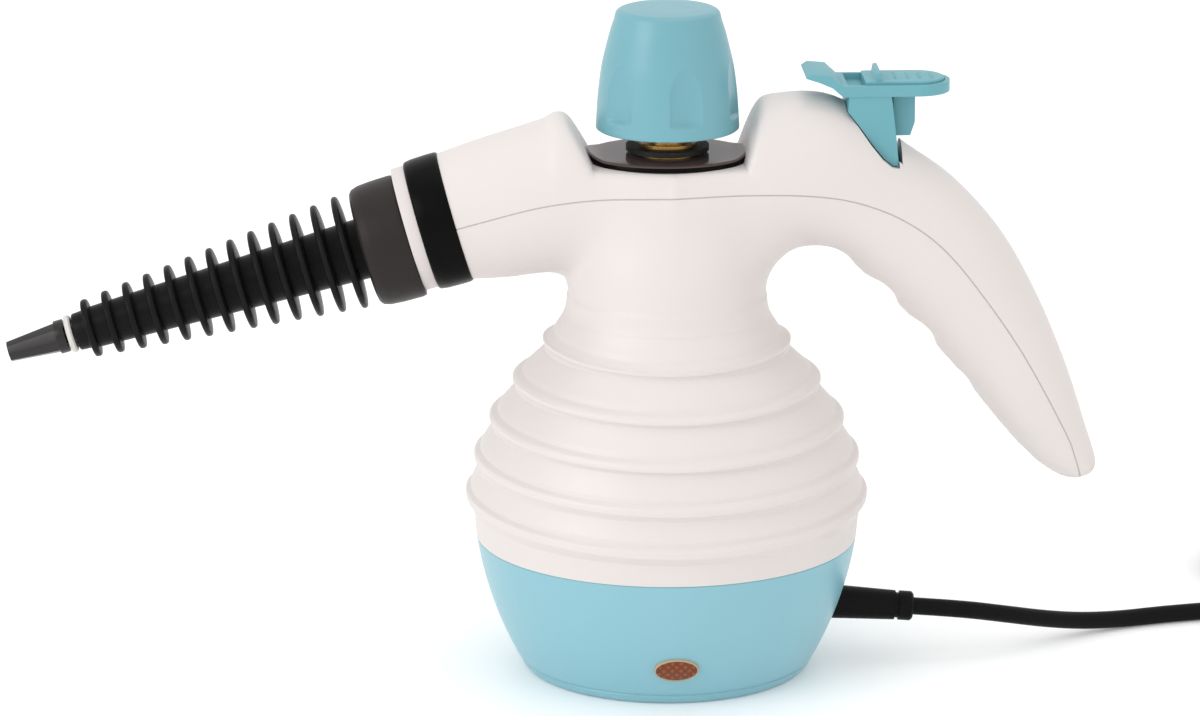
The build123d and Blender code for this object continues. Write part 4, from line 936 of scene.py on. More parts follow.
    def build(self) -> None:
        shell = self.looks["shell"]
        belly = piece("belly_skin", *self._belly(), shell, self.belly_angle)
        skin = piece("top_skin_draft", *self._net(), shell)
        self._trim(skin)
        cutters = [prism(outline, -half, half) for outline, half in self._openings()]
        cutters += [bar(x, y, self.well_radius, foot, head + self.well_head)
                    for x, y, foot, head in self.screw_wells]
        for index, cutter in enumerate(cutters):
            modifier = skin.modifiers.new(f"cut_{index}", "BOOLEAN")
            modifier.operation = "DIFFERENCE"
            modifier.solver = "EXACT"
            modifier.object = cutter
        skin = settled(skin, "top_skin", shell, self.skin_angle)
        for cutter in cutters:
            bpy.data.objects.remove(cutter)
        self._mark_seam(skin)
        self._mark_seam(belly)
        stand_for(belly, "housing", "white_plastic")
        stand_for(skin, "housing", "white_plastic", "upper_shell", "lower_shell")

    def _rings(self) -> tuple[list[Point], list[float], list[float]]:
        """Side outline of the stepped rings.

        Returns:
            The outline, and the heights at which the sag is given with the sag at each.
        """
        outline = [(self.seam_radius, self.seam_height)]
        levels, sags = [self.seam_height], [0.0]
        before = None
        for ring, share in enumerate(self.ring_shares):
            radius = self.belly_radius * share
            height = self.belly_height + self.ring_pitch * ring
            under = (radius - self.tuck_shares[ring] * self.belly_radius,
                     height - self.riser_shares[ring] * self.ring_pitch)
            if before:
                for rise, out in zip(self.lip_rises, (self.lip, -self.lip_dip, 0.0)):
                    part = rise / (under[1] - before[1])
                    outline.append((before[0] + (under[0] - before[0]) * part + out,
                                    before[1] + rise))
            outline.append((under[0] - self.under_tuck, under[1]))
            outline += [(radius + out, height + rise) for out, rise in self.ring_edge]
            levels += [under[1], height]
            sags += [self.sag_share * radius - self.front_shut, self.sag_share * radius]
            before = (radius, height)
        return outline, levels, sags

    def _belly(self) -> tuple[np.ndarray, Faces]:
        """Makes the stepped belly with its sagging rings, and the flare above it.

        Returns:
            Points and faces.
        """
        outline, levels, sags = self._rings()
        count = self.belly_parts
        turns = angles(count)
        front = np.sin(turns) ** 2
        rows = [(np.full(count, radius), height - np.interp(height, levels, sags) * front)
                for radius, height in rounded(outline, self.ring_round, 3)]
        start = rows[-1][1]
        for share in np.linspace(0, 1, self.skirt_parts + 1)[1:]:
            height = start + (self.cut_height - start) * share
            rise, width = self.skirt_dip
            dip = self.lip_dip * np.exp(-((height - start - rise) / width) ** 2)
            rows.append((self.skirt_radius(height, front) - dip, height))
        inward, upward = self.belly_end
        rows.append((rows[-1][0] - inward, rows[-1][1] + upward))
        points = [(0.0, 0.0, self.seam_height)]
        for radius, height in rows:
            points += list(zip(radius * np.cos(turns), radius * np.sin(turns), height))
        points.append((0.0, 0.0, self.cut_height + upward))
        return np.array(points), capped(count, len(rows))

    def _net(self) -> tuple[np.ndarray, Faces]:
        """Makes a net over the skin, with one point in each cell that its surface crosses.

        Returns:
            Points and faces.
        """
        xs, ys, zs = [np.arange(low, high, self.step) for low, high in self.net_box]
        value = self.skin(*np.meshgrid(xs, ys[ys > 0], zs, indexing="ij"))
        value = np.concatenate([value[:, ::-1], value], axis=1)
        inside = value < 0
        corners = [(i, j, k) for i in (0, 1) for j in (0, 1) for k in (0, 1)]
        size = [n - 1 for n in value.shape]
        full = sum(inside[i:i + size[0], j:j + size[1], k:k + size[2]].astype(np.int8)
                   for i, j, k in corners)
        cells = np.argwhere((full > 0) & (full < len(corners)))
        numbers = np.full(size, -1)
        numbers[tuple(cells.T)] = np.arange(len(cells))
        total, hits = np.zeros((len(cells), 3)), np.zeros(len(cells))
        sides = [(one, two) for index, one in enumerate(corners) for two in corners[index + 1:]
                 if sum(abs(p - q) for p, q in zip(one, two)) == 1]
        for one, two in sides:
            near, far = [value[tuple((cells + corner).T)] for corner in (one, two)]
            cross = (near < 0) != (far < 0)
            share = np.where(cross, near / np.where(cross, near - far, 1), 0)
            place = np.array(one) + share[:, None] * (np.array(two) - np.array(one))
            total += np.where(cross[:, None], place, 0)
            hits += cross
        points = (cells + total / hits[:, None]) * self.step + np.array([xs[0], ys[0], zs[0]])
        faces = []
        for axis, b, c in ((0, 1, 2), (1, 2, 0), (2, 0, 1)):
            low, high = [slice(None)] * 3, [slice(None)] * 3
            low[axis], high[axis] = slice(0, -1), slice(1, None)
            first = inside[tuple(low)]
            edges = np.argwhere(first != inside[tuple(high)])
            edges = edges[(edges[:, b] > 0) & (edges[:, c] > 0)
                          & (edges[:, b] < size[b]) & (edges[:, c] < size[c])]
            quad = []
            for db, dc in ((-1, -1), (0, -1), (0, 0), (-1, 0)):
                cell = edges.copy()
                cell[:, b] += db
                cell[:, c] += dc
                quad.append(numbers[tuple(cell.T)])
            quad = np.stack(quad, 1)
            entering = ~first[tuple(edges.T)]
            quad[entering] = quad[entering][:, ::-1]
            faces += quad.tolist()
        return self._settle(points), faces

    def _settle(self, points: np.ndarray) -> np.ndarray:
        """Moves points onto the surface of the skin, part of a cell at most in each round.

        Args:
            points: Points near the surface.

        Returns:
            The moved points.
        """
        for _ in range(self.settle_rounds):
            value = self.skin(*points.T)
            slope = np.stack([(self.skin(*(points + self.probe * axis).T) - value) / self.probe
                              for axis in np.eye(3)], 1)
            size = np.maximum((slope ** 2).sum(1), self.least_slope)
            move = -(value / size)[:, None] * slope
            length = np.maximum(np.linalg.norm(move, axis=1, keepdims=True), 1e-9)
            points = points + move * np.minimum(1, self.settle_share * self.step / length)
        return points

    def _trim(self, skin: Piece) -> None:
        """Cuts the skin level at the top of the belly and closes the cut.

        Args:
            skin: The skin's object.
        """
        work = bmesh.new()
        work.from_mesh(skin.data)
        reach, top = self.cut_reach * MM, (self.cut_height + self.cut_margin) * MM
        near = [v for v in work.verts if math.hypot(v.co.x, v.co.y) < reach and v.co.z < top]
        chosen = set(near)
        edges = [e for e in work.edges if e.verts[0] in chosen and e.verts[1] in chosen]
        faces = [f for f in work.faces if all(v in chosen for v in f.verts)]
        bmesh.ops.bisect_plane(work, geom=near + edges + faces, clear_inner=True,
                               plane_co=(0, 0, self.cut_height * MM), plane_no=(0, 0, 1))
        bmesh.ops.edgeloop_fill(work, edges=[e for e in work.edges if e.is_boundary])
        bmesh.ops.recalc_face_normals(work, faces=work.faces)
        work.to_mesh(skin.data)
        work.free()

    def _openings(self) -> list[tuple[list[Point], float]]:
        """Outlines, seen from the side, of the trigger's notch, its pocket and the valve's room.

        Returns:
            Each outline with half its width.
        """
        gap, sink = self.fin_gap, self.pocket_sink
        start = [(x - gap, z - gap) for x, z in self.fin_front]
        (tip_x, tip_z), top = self.fin_tip, self.crest_height + self.fin_room
        start.insert(0, (start[0][0], top))
        (rear_x, rear_z), (crown_x, _) = self.fin_rear
        toe, heel = self.pocket_rear
        notch = [*start, (tip_x, tip_z - gap), (tip_x + gap, tip_z), (rear_x + gap, rear_z),
                 (crown_x + gap, top)]
        pocket = [*start, (tip_x, tip_z - gap - sink), (tip_x + toe, tip_z - gap - sink),
                  (rear_x + heel, rear_z), (rear_x + heel, top)]
        return list(zip((notch, pocket, self.room), self.opening_halves))

    def _mark_seam(self, piece: Piece) -> None:
        """Stores each point's distance from the parting line, in millimetres, as "seam".

        Args:
            piece: The piece to mark.
        """
        line = between(self.parting, self.parting_parts)
        line = line * np.array([self.handle_reach, self.crest_height])
        co = np.zeros(len(piece.data.vertices) * 3)
        piece.data.vertices.foreach_get("co", co)
        flat = co.reshape(-1, 3)[:, [0, 2]] / MM
        best, signed = np.full(len(flat), 1e9), np.full(len(flat), 99.0)
        for a, b in zip(line, line[1:]):
            run = b - a
            share = np.clip(((flat - a) @ run) / np.linalg.norm(run) ** 2, 0, 1)
            distance = np.linalg.norm(flat - a - share[:, None] * run, axis=1)
            side = np.sign(run[0] * (flat[:, 1] - a[1]) - run[1] * (flat[:, 0] - a[0]))
            closer = distance < best
            best = np.where(closer, distance, best)
            signed = np.where(closer, distance * side, signed)
        attribute = piece.data.attributes.new("seam", "FLOAT", "POINT")
        attribute.data.foreach_set("value", signed.astype(np.float32))


class Rows:
    """A row of like items, placed by a node group."""

    SHARP = 40.0
    INPUTS = (("Item", "Object"), ("Count", "Int"), ("First", "Vector"), ("Step", "Vector"),
              ("First size", "Float"), ("Last size", "Float"), ("Finish", "Material"))

    def __init__(self) -> None:
        """Makes the node group once."""
        tree = self.tree = bpy.data.node_groups.new("row_of_items", "GeometryNodeTree")
        add = tree.interface.new_socket
        self.inputs = [add(name=name, in_out="INPUT", socket_type="NodeSocket" + kind).identifier
                       for name, kind in self.INPUTS]
        add(name="Geometry", in_out="OUTPUT", socket_type="NodeSocketGeometry")
        given = node(tree, "NodeGroupInput").outputs
        line = node(tree, "GeometryNodeMeshLine", {
            "Count": given["Count"], "Start Location": given["First"], "Offset": given["Step"]})
        item = node(tree, "GeometryNodeObjectInfo", {"Object": given["Item"]})
        last = node(tree, "ShaderNodeMath", {0: given["Count"], 1: 1.0}, operation="SUBTRACT")
        size = node(tree, "ShaderNodeMapRange", {
            "Value": node(tree, "GeometryNodeInputIndex").outputs[0],
            "From Max": last.outputs[0],
            "To Min": given["First size"], "To Max": given["Last size"]}).outputs["Result"]
        scale = node(tree, "ShaderNodeCombineXYZ", {"X": size, "Y": size, "Z": 1.0})
        placed = node(tree, "GeometryNodeInstanceOnPoints", {
            "Points": line.outputs["Mesh"], "Instance": item.outputs["Geometry"],
            "Scale": scale.outputs["Vector"]})
        real = node(tree, "GeometryNodeRealizeInstances", {
            "Geometry": placed.outputs["Instances"]})
        finish = node(tree, "GeometryNodeSetMaterial", {
            "Geometry": real.outputs["Geometry"], "Material": given["Finish"]})
        node(tree, "NodeGroupOutput", {"Geometry": finish.outputs["Geometry"]})

    def lay(self, name: str, item: Piece, finish: Material, count: int, first: Place, step: Place,
            sizes: Point) -> Piece:
        """Lays a row of copies of an item and removes the item.

        Args:
            name: Name of the row.
            item: The item to copy.
            finish: Finish of the row.
            count: Number of copies.
            first: Place of the first copy in millimetres.
            step: Way from each copy to the next.
            sizes: Scale across the axis of the first and of the last copy.

        Returns:
            The row as a plain mesh.
        """
        holder = bpy.data.objects.new(name + "_draft", bpy.data.meshes.new(name + "_draft"))
        bpy.context.scene.collection.objects.link(holder)
        modifier = holder.modifiers.new("row", "NODES")
        modifier.node_group = self.tree
        values = (item, count, [v * MM for v in first], [v * MM for v in step], *sizes, finish)
        for key, value in zip(self.inputs, values):
            modifier[key] = value
        row = settled(holder, name, finish, self.SHARP)
        bpy.data.objects.remove(item)
        return row


@dataclass
class Base(Assembly):
    """Blue cup with its foot, and the oval amber lamp in its front."""

    foot_radius: float = 46.1
    foot_edge: float = 1.3
    foot_width: float = 3.6
    middle: Point = (55.55, 18.0)
    seam: Point = (62.65, 44.7)
    wall: float = 2.5
    floor: float = 6.0
    inner_foot: float = 0.4
    foot: tuple = ((-0.3, 0.0), (0.45, 0.35))
    groove: tuple = ((1.4, 0.0), (2.9, 0.0), (3.2, 0.35), (3.7, 0.35), (4.0, 0.0))
    side: Point = (4.4, 0.5)
    side_points: int = 40
    parts: int = 256
    edge: Point = (0.35, 0.12)
    inner_heights: tuple = (38.0, 30.0, 22.0, 14.0, 6.0)
    lamp_height: float = 14.0
    lens: Point = (6.6, 3.95)
    lens_top: float = 1.15
    lens_back: float = 1.2
    lens_rows: int = 48
    lens_parts: int = 160
    rim_parts: int = 128
    dome: Point = (0.5, 0.65)
    prism: float = 1.5
    prism_slope: float = 1.25
    prism_height: float = 0.3
    rim: tuple = ((0.05, -1.4), (0.05, 0.55), (0.25, 0.8), (0.55, 0.6), (0.65, -1.4))

    def arc(self) -> Place:
        """Finds the circle of the cup's side outline.

        Returns:
            Distance of its centre from the axis, the centre's height, and the radius.
        """
        ax, az = self.foot_radius + self.foot_edge, self.foot_edge
        (bx, bz), (cx, cz) = self.middle, self.seam
        d = 2 * (ax * (bz - cz) + bx * (cz - az) + cx * (az - bz))
        a, b, c = ax * ax + az * az, bx * bx + bz * bz, cx * cx + cz * cz
        ux = (a * (bz - cz) + b * (cz - az) + c * (az - bz)) / d
        uz = (a * (cx - bx) + b * (ax - cx) + c * (bx - ax)) / d
        return ux, uz, math.hypot(ax - ux, az - uz)

    def radius(self, height: float) -> float:
        """Outer radius of the cup at a height."""
        x, z, r = self.arc()
        return x + math.sqrt(r * r - (height - z) ** 2)

    def build(self) -> None:
        inner = self.foot_radius - self.foot_width
        low, under = self.side
        tuck, shut = self.edge
        top = self.seam[1] - shut
        line = [(inner, self.floor), (inner, self.inner_foot), (inner + self.inner_foot, 0.0)]
        line += [(self.foot_radius + out, height) for out, height in self.foot]
        line += [(self.radius(height) - dip, height) for height, dip in self.groove]
        heights = np.linspace(low, self.seam[1] - under, self.side_points)
        line += [(self.radius(h), h) for h in heights]
        line += [(self.seam[0] - tuck, top), (self.seam[0] - self.wall, top)]
        line += [(self.radius(h) - self.wall, h) for h in self.inner_heights]
        points, faces = lathe(line, self.parts, closed=True)
        cup = piece("cup", points, faces, self.looks["base"], 40.0)
        stand_for(cup, "housing", "blue_plastic", "base_cup")
        self._lens()
        self._rim()

    def _on_lamp(self, x: np.ndarray, y: np.ndarray, high: float | np.ndarray) -> list[np.ndarray]:
        """Points near the lamp, which faces square to the cup's side.

        Args:
            x: Places across the lamp.
            y: Places up the lamp.
            high: Height over the cup.

        Returns:
            The points.
        """
        _, centre, size = self.arc()
        dip = math.asin((centre - self.lamp_height) / size)
        out = np.array([0, -math.cos(dip), -math.sin(dip)])
        up = np.array([0, -math.sin(dip), math.cos(dip)])
        place = np.array([0, -self.radius(self.lamp_height), self.lamp_height])
        high = np.broadcast_to(high, x.shape)
        return list(place + x[:, None] * [1, 0, 0] + y[:, None] * up + high[:, None] * out)

    def _lens(self) -> None:
        """Makes the domed lens with its lattice of small prisms."""
        turns, (wide, tall), none = angles(self.lens_parts), self.lens, np.zeros(1)
        shares = np.linspace(0, 1, self.lens_rows + 1)[1:]
        low, rise = self.dome
        points = self._on_lamp(none, none, self.lens_top)
        for share in shares:
            x, y = wide * share * np.cos(turns), tall * share * np.sin(turns)
            tent = np.maximum(*[np.abs(((x + slope * y) / self.prism) % 1 - 0.5)
                                for slope in (self.prism_slope, -self.prism_slope)])
            high = (low + rise * (1 - share ** 2)
                    + self.prism_height * (0.5 - tent) * min(1.0, 8 * (1 - share)))
            points += self._on_lamp(x, y, high)
        points += self._on_lamp(wide * np.cos(turns), tall * np.sin(turns), -self.lens_back)
        points += self._on_lamp(none, none, -self.lens_back)
        lens = piece("amber_window", np.array(points),
                     capped(len(turns), len(shares) + 1), self.looks["lens"], 25.0)
        stand_for(lens, "housing", "amber_lens", "lamp_lens")

    def _rim(self) -> None:
        """Makes the thin oval rim round the lens."""
        turns, points = angles(self.rim_parts), []
        for wide, high in self.rim:
            points += self._on_lamp((self.lens[0] + wide) * np.cos(turns),
                                    (self.lens[1] + wide) * np.sin(turns), high)
        faces = [face[::-1] for face in strips(len(turns), len(self.rim), closed=True)]
        rim = piece("lamp_edge", np.array(points), faces, self.looks["bezel"], 50.0)
        stand_for(rim, "housing", "clear_rim", "lamp_bezel")


@dataclass
class Cap(Assembly):
    """Blue grip of the safety cap, with six arched grip hollows."""

    top: float = 220.7
    bottom: float = 181.2
    radius: float = 23.35
    wall: float = 2.4
    hub: Point = (10.5, 191.0)
    bore: float = 6.58
    shares: tuple = ((1.0, 0.0), (0.985, 0.135), (0.972, 0.268), (0.946, 0.403), (0.916, 0.537),
                     (0.861, 0.668), (0.805, 0.803), (0.749, 0.901))
    shoulder: Point = (0.72, 0.972)
    crown: Point = (0.67, 0.25)
    crown_inset: float = 0.6
    flat_top: float = 10.0
    crown_round: float = 1.6
    side_start: float = 0.8
    side_points: int = 76
    even_rounds: int = 30
    hub_gap: float = 1.5
    inner_gap: float = 2.0
    foot: tuple = ((0.5, 0.0), (0.1, 0.3))
    parts: int = 384
    hollows: int = 6
    first_turn: float = -78.0
    hollow_half: float = 5.4
    hollow_depth: float = 1.7
    hollow_foot: float = 5.2
    hollow_height: float = 18.0
    hollow_arch: float = 1.4
    hollow_wall: float = 0.65
    hollow_fade: float = 0.35
    hollow_sill: float = 22.0

    def build(self) -> None:
        height, ceiling = self.top - self.bottom, self.top - self.wall
        given = np.array([(r * self.radius, self.bottom + z * height) for r, z in self.shares])
        heights = np.linspace(self.bottom + self.side_start, given[-1, 1], self.side_points)
        side = self._smooth(np.interp(heights, given[:, 1], given[:, 0]), heights)
        corners = [side[-1],
                   (self.shoulder[0] * self.radius, self.bottom + self.shoulder[1] * height),
                   (self.crown[0] * self.radius - self.crown_inset, self.top - self.crown[1]),
                   (self.flat_top, self.top), (0.0, self.top)]
        crown = rounded(corners, self.crown_round, 6)
        inner = [(0.0, ceiling), (self.bore, ceiling), (self.bore, self.hub[1]), self.hub,
                 (self.hub[0], ceiling - self.hub_gap)]
        inner += [(r - self.wall, z) for r, z in side[::-8] if z < ceiling - self.inner_gap]
        edge = [(self.radius - inward, self.bottom + rise)
                for inward, rise in ((self.wall, 0.0), *self.foot)]
        points, faces = lathe(inner + edge + side + crown[1:], self.parts)
        skip = 1 + (len(inner) - 1 + len(edge)) * self.parts
        outer = slice(skip, skip + len(side) * self.parts)
        points[outer] = self._hollowed(points[outer])
        cap = piece("cap_grip_skin", points, faces, self.looks["cap"], 38.0)
        stand_for(cap, "cap_grip", "cap_blue", "cap_shell")

    def _smooth(self, radii: np.ndarray, heights: np.ndarray) -> list[Point]:
        """Evens out the bends of the side outline.

        Args:
            radii: Radius of each point, changed in place.
            heights: Height of each point.

        Returns:
            The outline.
        """
        for _ in range(self.even_rounds):
            radii[1:-1] = (radii[:-2] + 2 * radii[1:-1] + radii[2:]) / 4
        return list(zip(radii, heights))

    def _hollowed(self, points: np.ndarray) -> np.ndarray:
        """Presses the grip hollows into the side.

        Args:
            points: Points of the side.

        Returns:
            The moved points.
        """
        turn = np.degrees(np.arctan2(points[:, 1], points[:, 0]))
        radius = np.hypot(points[:, 0], points[:, 1])
        pitch = 360 / self.hollows
        off = (turn - self.first_turn + pitch / 2) % pitch - pitch / 2
        off = np.radians(off) * radius / self.hollow_half
        up = (points[:, 2] - self.bottom - self.hollow_foot) / self.hollow_height
        arch = np.clip((up - 0.5) / 0.5, 0, 2)
        inside = np.clip(1 - off ** 2 - arch ** self.hollow_arch, 0, 1)
        depth = (self.hollow_depth * inside ** self.hollow_wall
                 * (1 - self.hollow_fade * np.clip(up, 0, 1))
                 * np.clip(up * self.hollow_sill + 1, 0, 1))
        share = 1 - depth / radius
        return np.column_stack([points[:, 0] * share, points[:, 1] * share, points[:, 2]])


@dataclass
class Deck(Assembly):
    """Glossy black plate round the filler neck, curled up at both ends along the valley's walls;
    its top is coloured with a painted reflection.
    """

    height: float = 171.0
    half: Point = (26.9, 22.2)
    hole: float = 9.5
    thickness: float = 2.0
    edge_share: float = 0.04
    edge_drop: float = 0.5
    curl: float = 0.055
    curl_start: float = 20.5
    lift: float = 0.02
    rim_slope: float = 0.6
    rows: int = 24
    parts: int = 192

    def build(self) -> None:
        turns = angles(self.parts)
        rows = [(0.0, 0.0)]
        for share in np.linspace(0, 1, self.rows + 1):
            over = max(0.0, share - (1 - self.edge_share)) / self.edge_share
            rows.append((share, self.thickness - self.edge_drop * over))
        rows.append((1.0, 0.0))
        points = []
        for share, rise in rows:
            x, y = [(self.hole + (half - self.hole) * share) * wave(turns)
                    for half, wave in zip(self.half, (np.cos, np.sin))]
            curl = self.curl * np.maximum(np.abs(x) - self.curl_start, 0) ** 2 + self.lift
            points += list(zip(x, y, self.height + curl + rise))
        faces = strips(len(turns), len(rows), closed=True)
        plate = piece("deck_plate", np.array(points), faces, self.looks["plate"], 50.0)
        # Faces that look up keep the lighter plate colour, a painted reflection; steeper rim faces
        # get plain black.
        plate.data.materials.append(self.looks["band"])
        for face in plate.data.polygons:
            face.material_index = int(face.normal.z < self.rim_slope)
        stand_for(plate, "housing", "dark_gloss", "collar_plate")


@dataclass
class Nozzle(Assembly):
    """Bayonet collar, finned barrel and tip of the nozzle, with the spout's band and ring."""

    end: Point = (-69.5, 152.3)
    slope: float = 16.0
    step: float = 15.3
    drop: float = 1.8
    fins: int = 13
    first_fin: float = 20.5
    pitch: float = 7.3
    large: float = 18.85
    small: float = 9.65
    collar: tuple = ((12.0, 14.5), (18.3, 14.5), (19.5, 0.3), (20.2, 0.1), (20.5, 1.5),
                     (20.35, 8.0), (20.0, 12.2), (19.3, 14.4), (18.2, 15.3), (16.5, 15.6),
                     (12.0, 15.6))
    band: tuple = ((20.2, -0.5), (21.5, -0.5), (21.85, 0.4), (21.9, 3.0), (21.75, 8.0),
                   (21.4, 10.5), (20.8, 11.05), (20.2, 11.05))
    sleeve_round: float = 0.35
    shaft: tuple = ((4.4, 10.0), (12.8, 10.0), (12.8, 12.0), (10.0, 12.0), (9.9, 18.0),
                    (6.75, 108.5), (6.3, 110.0), (6.1, 113.0), (5.7, 113.4), (4.4, 113.4))
    shaft_round: float = 0.3
    fin_side: tuple = ((0.40, 1.75), (0.60, 1.45), (0.80, 1.25), (0.93, 1.1), (0.972, 0.92),
                       (0.992, 0.55))

    def place(self, step: float, drop: float) -> Matrix:
        """Frame whose Z axis runs out along the nozzle, in millimetres.

        Args:
            step: Way out along the nozzle from the end of the spout.
            drop: Way down from the spout's axis.

        Returns:
            The frame.
        """
        slope = math.radians(self.slope)
        out = Vector((-math.cos(slope), 0, -math.sin(slope)))
        up = Vector((-math.sin(slope), 0, math.cos(slope)))
        side = Vector((0, 1, 0))
        turn = Matrix((side, out.cross(side), out)).transposed()
        origin = Vector((self.end[0], 0, self.end[1])) + out * step - up * drop
        return Matrix.Translation(origin) @ turn.to_4x4()

    def build(self) -> None:
        looks, place = self.looks, self.place(self.step, self.drop)
        self._barrel(place)
        sleeves = {"collar": (self.collar, self.sleeve_round, place),
                   "band": (self.band, self.sleeve_round, self.place(0, 0))}
        for source, name, look, body, slot, bevel in (
            ("nozzle_collar", "collar_skin", "collar", "nozzle", "black_plastic", 0.35),
            ("nozzle_tip", "tip_skin", "fin", "nozzle", "black_plastic", 0.3),
            ("spout_ring", "end_ring_skin", "white", "housing", "white_plastic", 0.45),
            ("spout_band", "band_skin", "band", "housing", "black_plastic", 0.35),
        ):
            piece = refined(source, name, looks[look], bevel)
            if look in sleeves:
                work = bmesh.new()
                work.from_mesh(piece.data)
                self._add(work, *sleeve(*sleeves[look]))
                work.to_mesh(piece.data)
                work.free()
            stand_for(piece, body, slot, source)

    def _barrel(self, place: Matrix) -> None:
        """Makes the barrel: a shaft with a row of fins that get smaller towards the tip.

        Args:
            place: Frame at the rear of the collar.
        """
        black = self.looks["black"]
        outline = [*[(r, -z) for r, z in self.fin_side], (1.0, 0.0), *self.fin_side[::-1]]
        outline = [(r / MM, z) for r, z in outline]
        points, faces = lathe(outline, SLEEVE_PARTS, closed=True)
        fins = Rows().lay("fins_draft", piece("fin", points, faces, black), black,
                          self.fins, (0, 0, self.first_fin), (0, 0, self.pitch),
                          (self.large * MM, self.small * MM))
        work = bmesh.new()
        work.from_mesh(fins.data)
        bpy.data.objects.remove(fins)
        work.transform(Matrix.Translation(place.translation * MM) @ place.to_3x3().to_4x4())
        for face in work.faces:
            face.material_index = 1
        self._add(work, *sleeve(self.shaft, self.shaft_round, place))
        mesh = bpy.data.meshes.new("barrel_skin")
        work.to_mesh(mesh)
        work.free()
        barrel = wrap("barrel_skin", mesh, black, 40.0)
        barrel.data.materials.append(self.looks["fin"])
        stand_for(barrel, "nozzle", "black_plastic", "nozzle_barrel")

    @staticmethod
    def _add(work: bmesh.types.BMesh, points: np.ndarray, faces: Faces) -> None:
        """Adds a sleeve to a mesh.

        Args:
            work: The mesh, open for editing.
            points: Points of the sleeve in millimetres.
            faces: Its faces.
        """
        sleeve = bpy.data.meshes.new("sleeve")
        sleeve.from_pydata((points * MM).tolist(), [], faces)
        sleeve.polygons.foreach_set("use_smooth", [True] * len(sleeve.polygons))
        work.from_mesh(sleeve)
        bpy.data.meshes.remove(sleeve)


@dataclass
class Trigger(Assembly):
    """Steam trigger and its sliding lock, with rounded edges."""

    lever_edge: float = 0.5
    lock_edge: float = 0.22

    def build(self) -> None:
        blue = self.looks["trigger"]
        lever = refined("trigger_lever", "trigger_skin", blue, self.lever_edge)
        stand_for(lever, "trigger", "trigger_blue", "trigger_lever")
        lock = refined("lock_slider", "lock_skin", blue, self.lock_edge)
        stand_for(lock, "lock", "trigger_blue", "lock_slider")


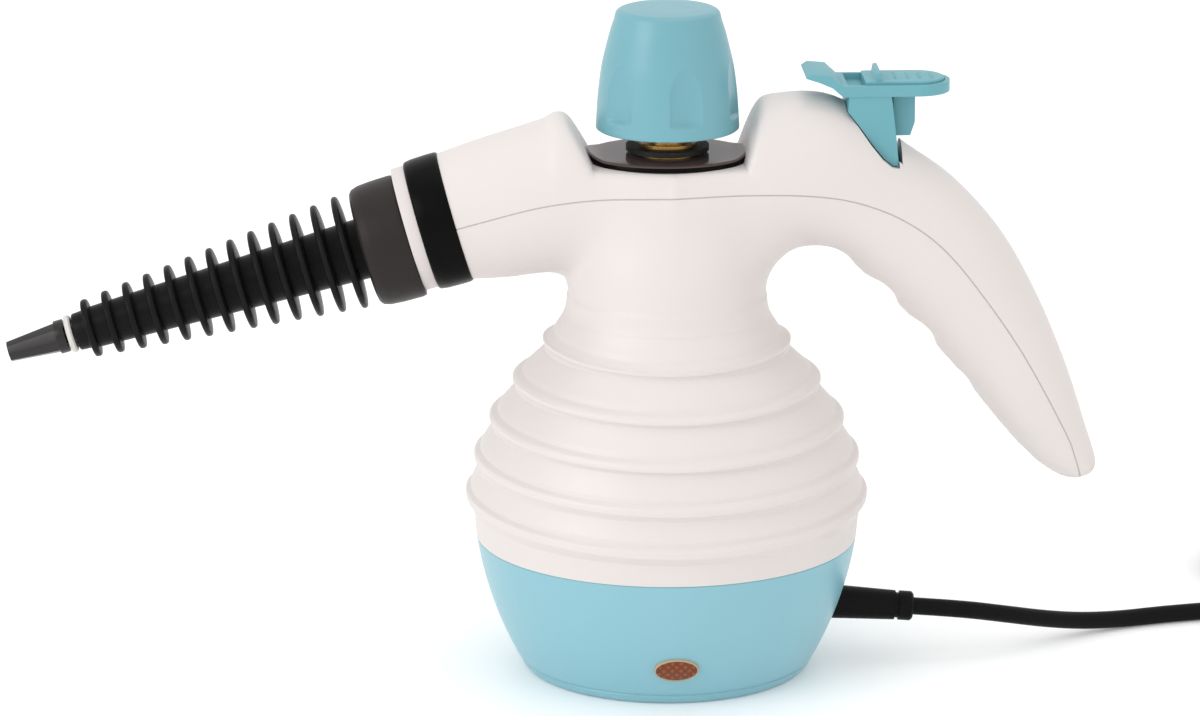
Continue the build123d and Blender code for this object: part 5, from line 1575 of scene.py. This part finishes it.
@dataclass
class MainsLead(Assembly):
    """The mains lead: its free stretch, its put-away coil and the plug."""

    radius: float = 2.9
    relief_end: Place = (82.0, 0.0, 17.2)
    relief_slope: float = 4.5
    first_run: float = 16.0
    coil_x: float = 241.0
    coil_y: float = 83.0
    coil_radius: float = 46.0
    pitch: float = 6.35
    halves_in: int = 7
    halves_out: int = 6
    lead_in: float = 5.8
    lead_out: float = 36.0
    length: float = 1.735
    per_half: int = 7
    coil_end: float = 2.0
    plug_edge: float = 0.5

    def build(self) -> None:
        points = self.route() + self.coil_points()
        curve = bpy.data.curves.new("cord", "CURVE")
        curve.dimensions = "3D"
        curve.resolution_u = 8
        curve.bevel_depth = self.radius * MM
        curve.bevel_resolution = 6
        curve.use_fill_caps = True
        spline = curve.splines.new("NURBS")
        spline.points.add(len(points) - 1)
        for item, point in zip(spline.points, points):
            item.co = (*[c * MM for c in point], 1)
        spline.order_u = 3
        spline.use_endpoint_u = True
        curve.materials.append(self.looks["cord"])
        cord = bpy.data.objects.new("cord", curve)
        bpy.context.scene.collection.objects.link(cord)
        plug = refined("plug_body", "plug_moulding", self.looks["cord"], self.plug_edge)
        stand_for(plug, "housing", "cord_sheath", "plug_body")
        dress("plug_blades", self.looks["brass"])
        stand_for(cord, "housing", "cord_sheath", "cord_lead", "cord_coil")

    def route(self) -> list[Place]:
        """Lays out the free stretch, as the part's source does.

        Returns:
            The points in millimetres.
        """
        x, y, z = self.relief_end
        slope = math.radians(self.relief_slope)
        low, start = self.radius, self.coil_y - self.coil_radius
        return [(x, y, z),
                (x + self.first_run * math.cos(slope), 0.0, z - self.first_run * math.sin(slope)),
                (113.5, 4.6, 12.4), (127.5, 11.8, 8.2), (141.0, 19.6, 4.7), (155.0, 26.2, low),
                (171.5, 31.2, low), (190.0, 34.9, low), (212.0, start, low),
                (self.coil_x - self.lead_in, start, low)]

    def coil_points(self) -> list[Place]:
        """Lays out the coil: in on the floor, up a layer, and out above.

        Returns:
            The points in millimetres.
        """
        low, high = self.radius, self.radius + self.pitch
        inward, turns_in = range(self.halves_in), self.halves_in
        halves = [(half, low, low) for half in inward] + [(turns_in, low, high)]
        halves += [(turns_in - 1 - half, high, high) for half in range(self.halves_out)]
        y, heading, out = self.coil_y - self.coil_radius, 1, []
        for half, start, end in halves:
            radius = self.coil_radius - half * self.pitch / 2
            centre = y + radius * heading
            swell = radius / math.cos(math.pi / (2 * self.per_half))
            for t in [(part + 0.5) / self.per_half for part in range(self.per_half)]:
                out.append((self.coil_x + heading * swell * math.sin(math.pi * t),
                            centre - heading * swell * math.cos(math.pi * t),
                            start + (end - start) * t))
            y += 2 * radius * heading
            heading = -heading
        return out + [(self.coil_x + past, y, high)
                      for past in (self.coil_end, self.lead_out / 2, self.lead_out)]


CARRIED = {
    "seal": ("nozzle_oring", "boiler_gasket", "nozzle_seal"),
    "brass": ("filler_neck", "cap_plug", "relief_poppet", "valve_body", "valve_plunger",
              "outlet_nipple"),
    "gasket": ("cap_gasket",),
    "bulb": ("lamp_bulb",),
    "cord": ("strain_relief", "inner_lead"),
    "grey": ("base_plate", "thermostat", "terminal_block"),
    "steel": ("base_screws", "shell_screws", "boiler_bolts", "heating_element", "thermal_fuse",
              "cap_spring", "valve_spring", "pivot_pin"),
    "alloy": ("boiler_lower", "boiler_upper"),
    "copper": ("steam_inlet", "steam_outlet"),
}


def main() -> None:
    """Builds the looks in order and hands them to the frame."""
    logging.basicConfig(level=logging.INFO, format="%(name)s: %(message)s")
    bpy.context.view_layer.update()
    looks = {key: finish.make() for key, finish in FINISHES.items()}
    Studio().build()
    for assembly in (MainsLead, Housing, Base, Cap, Deck, Nozzle, Trigger):
        assembly(looks).build()
    for key, names in CARRIED.items():
        for name in names:
            dress(name, looks[key])


if __name__ == "__main__":
    main()
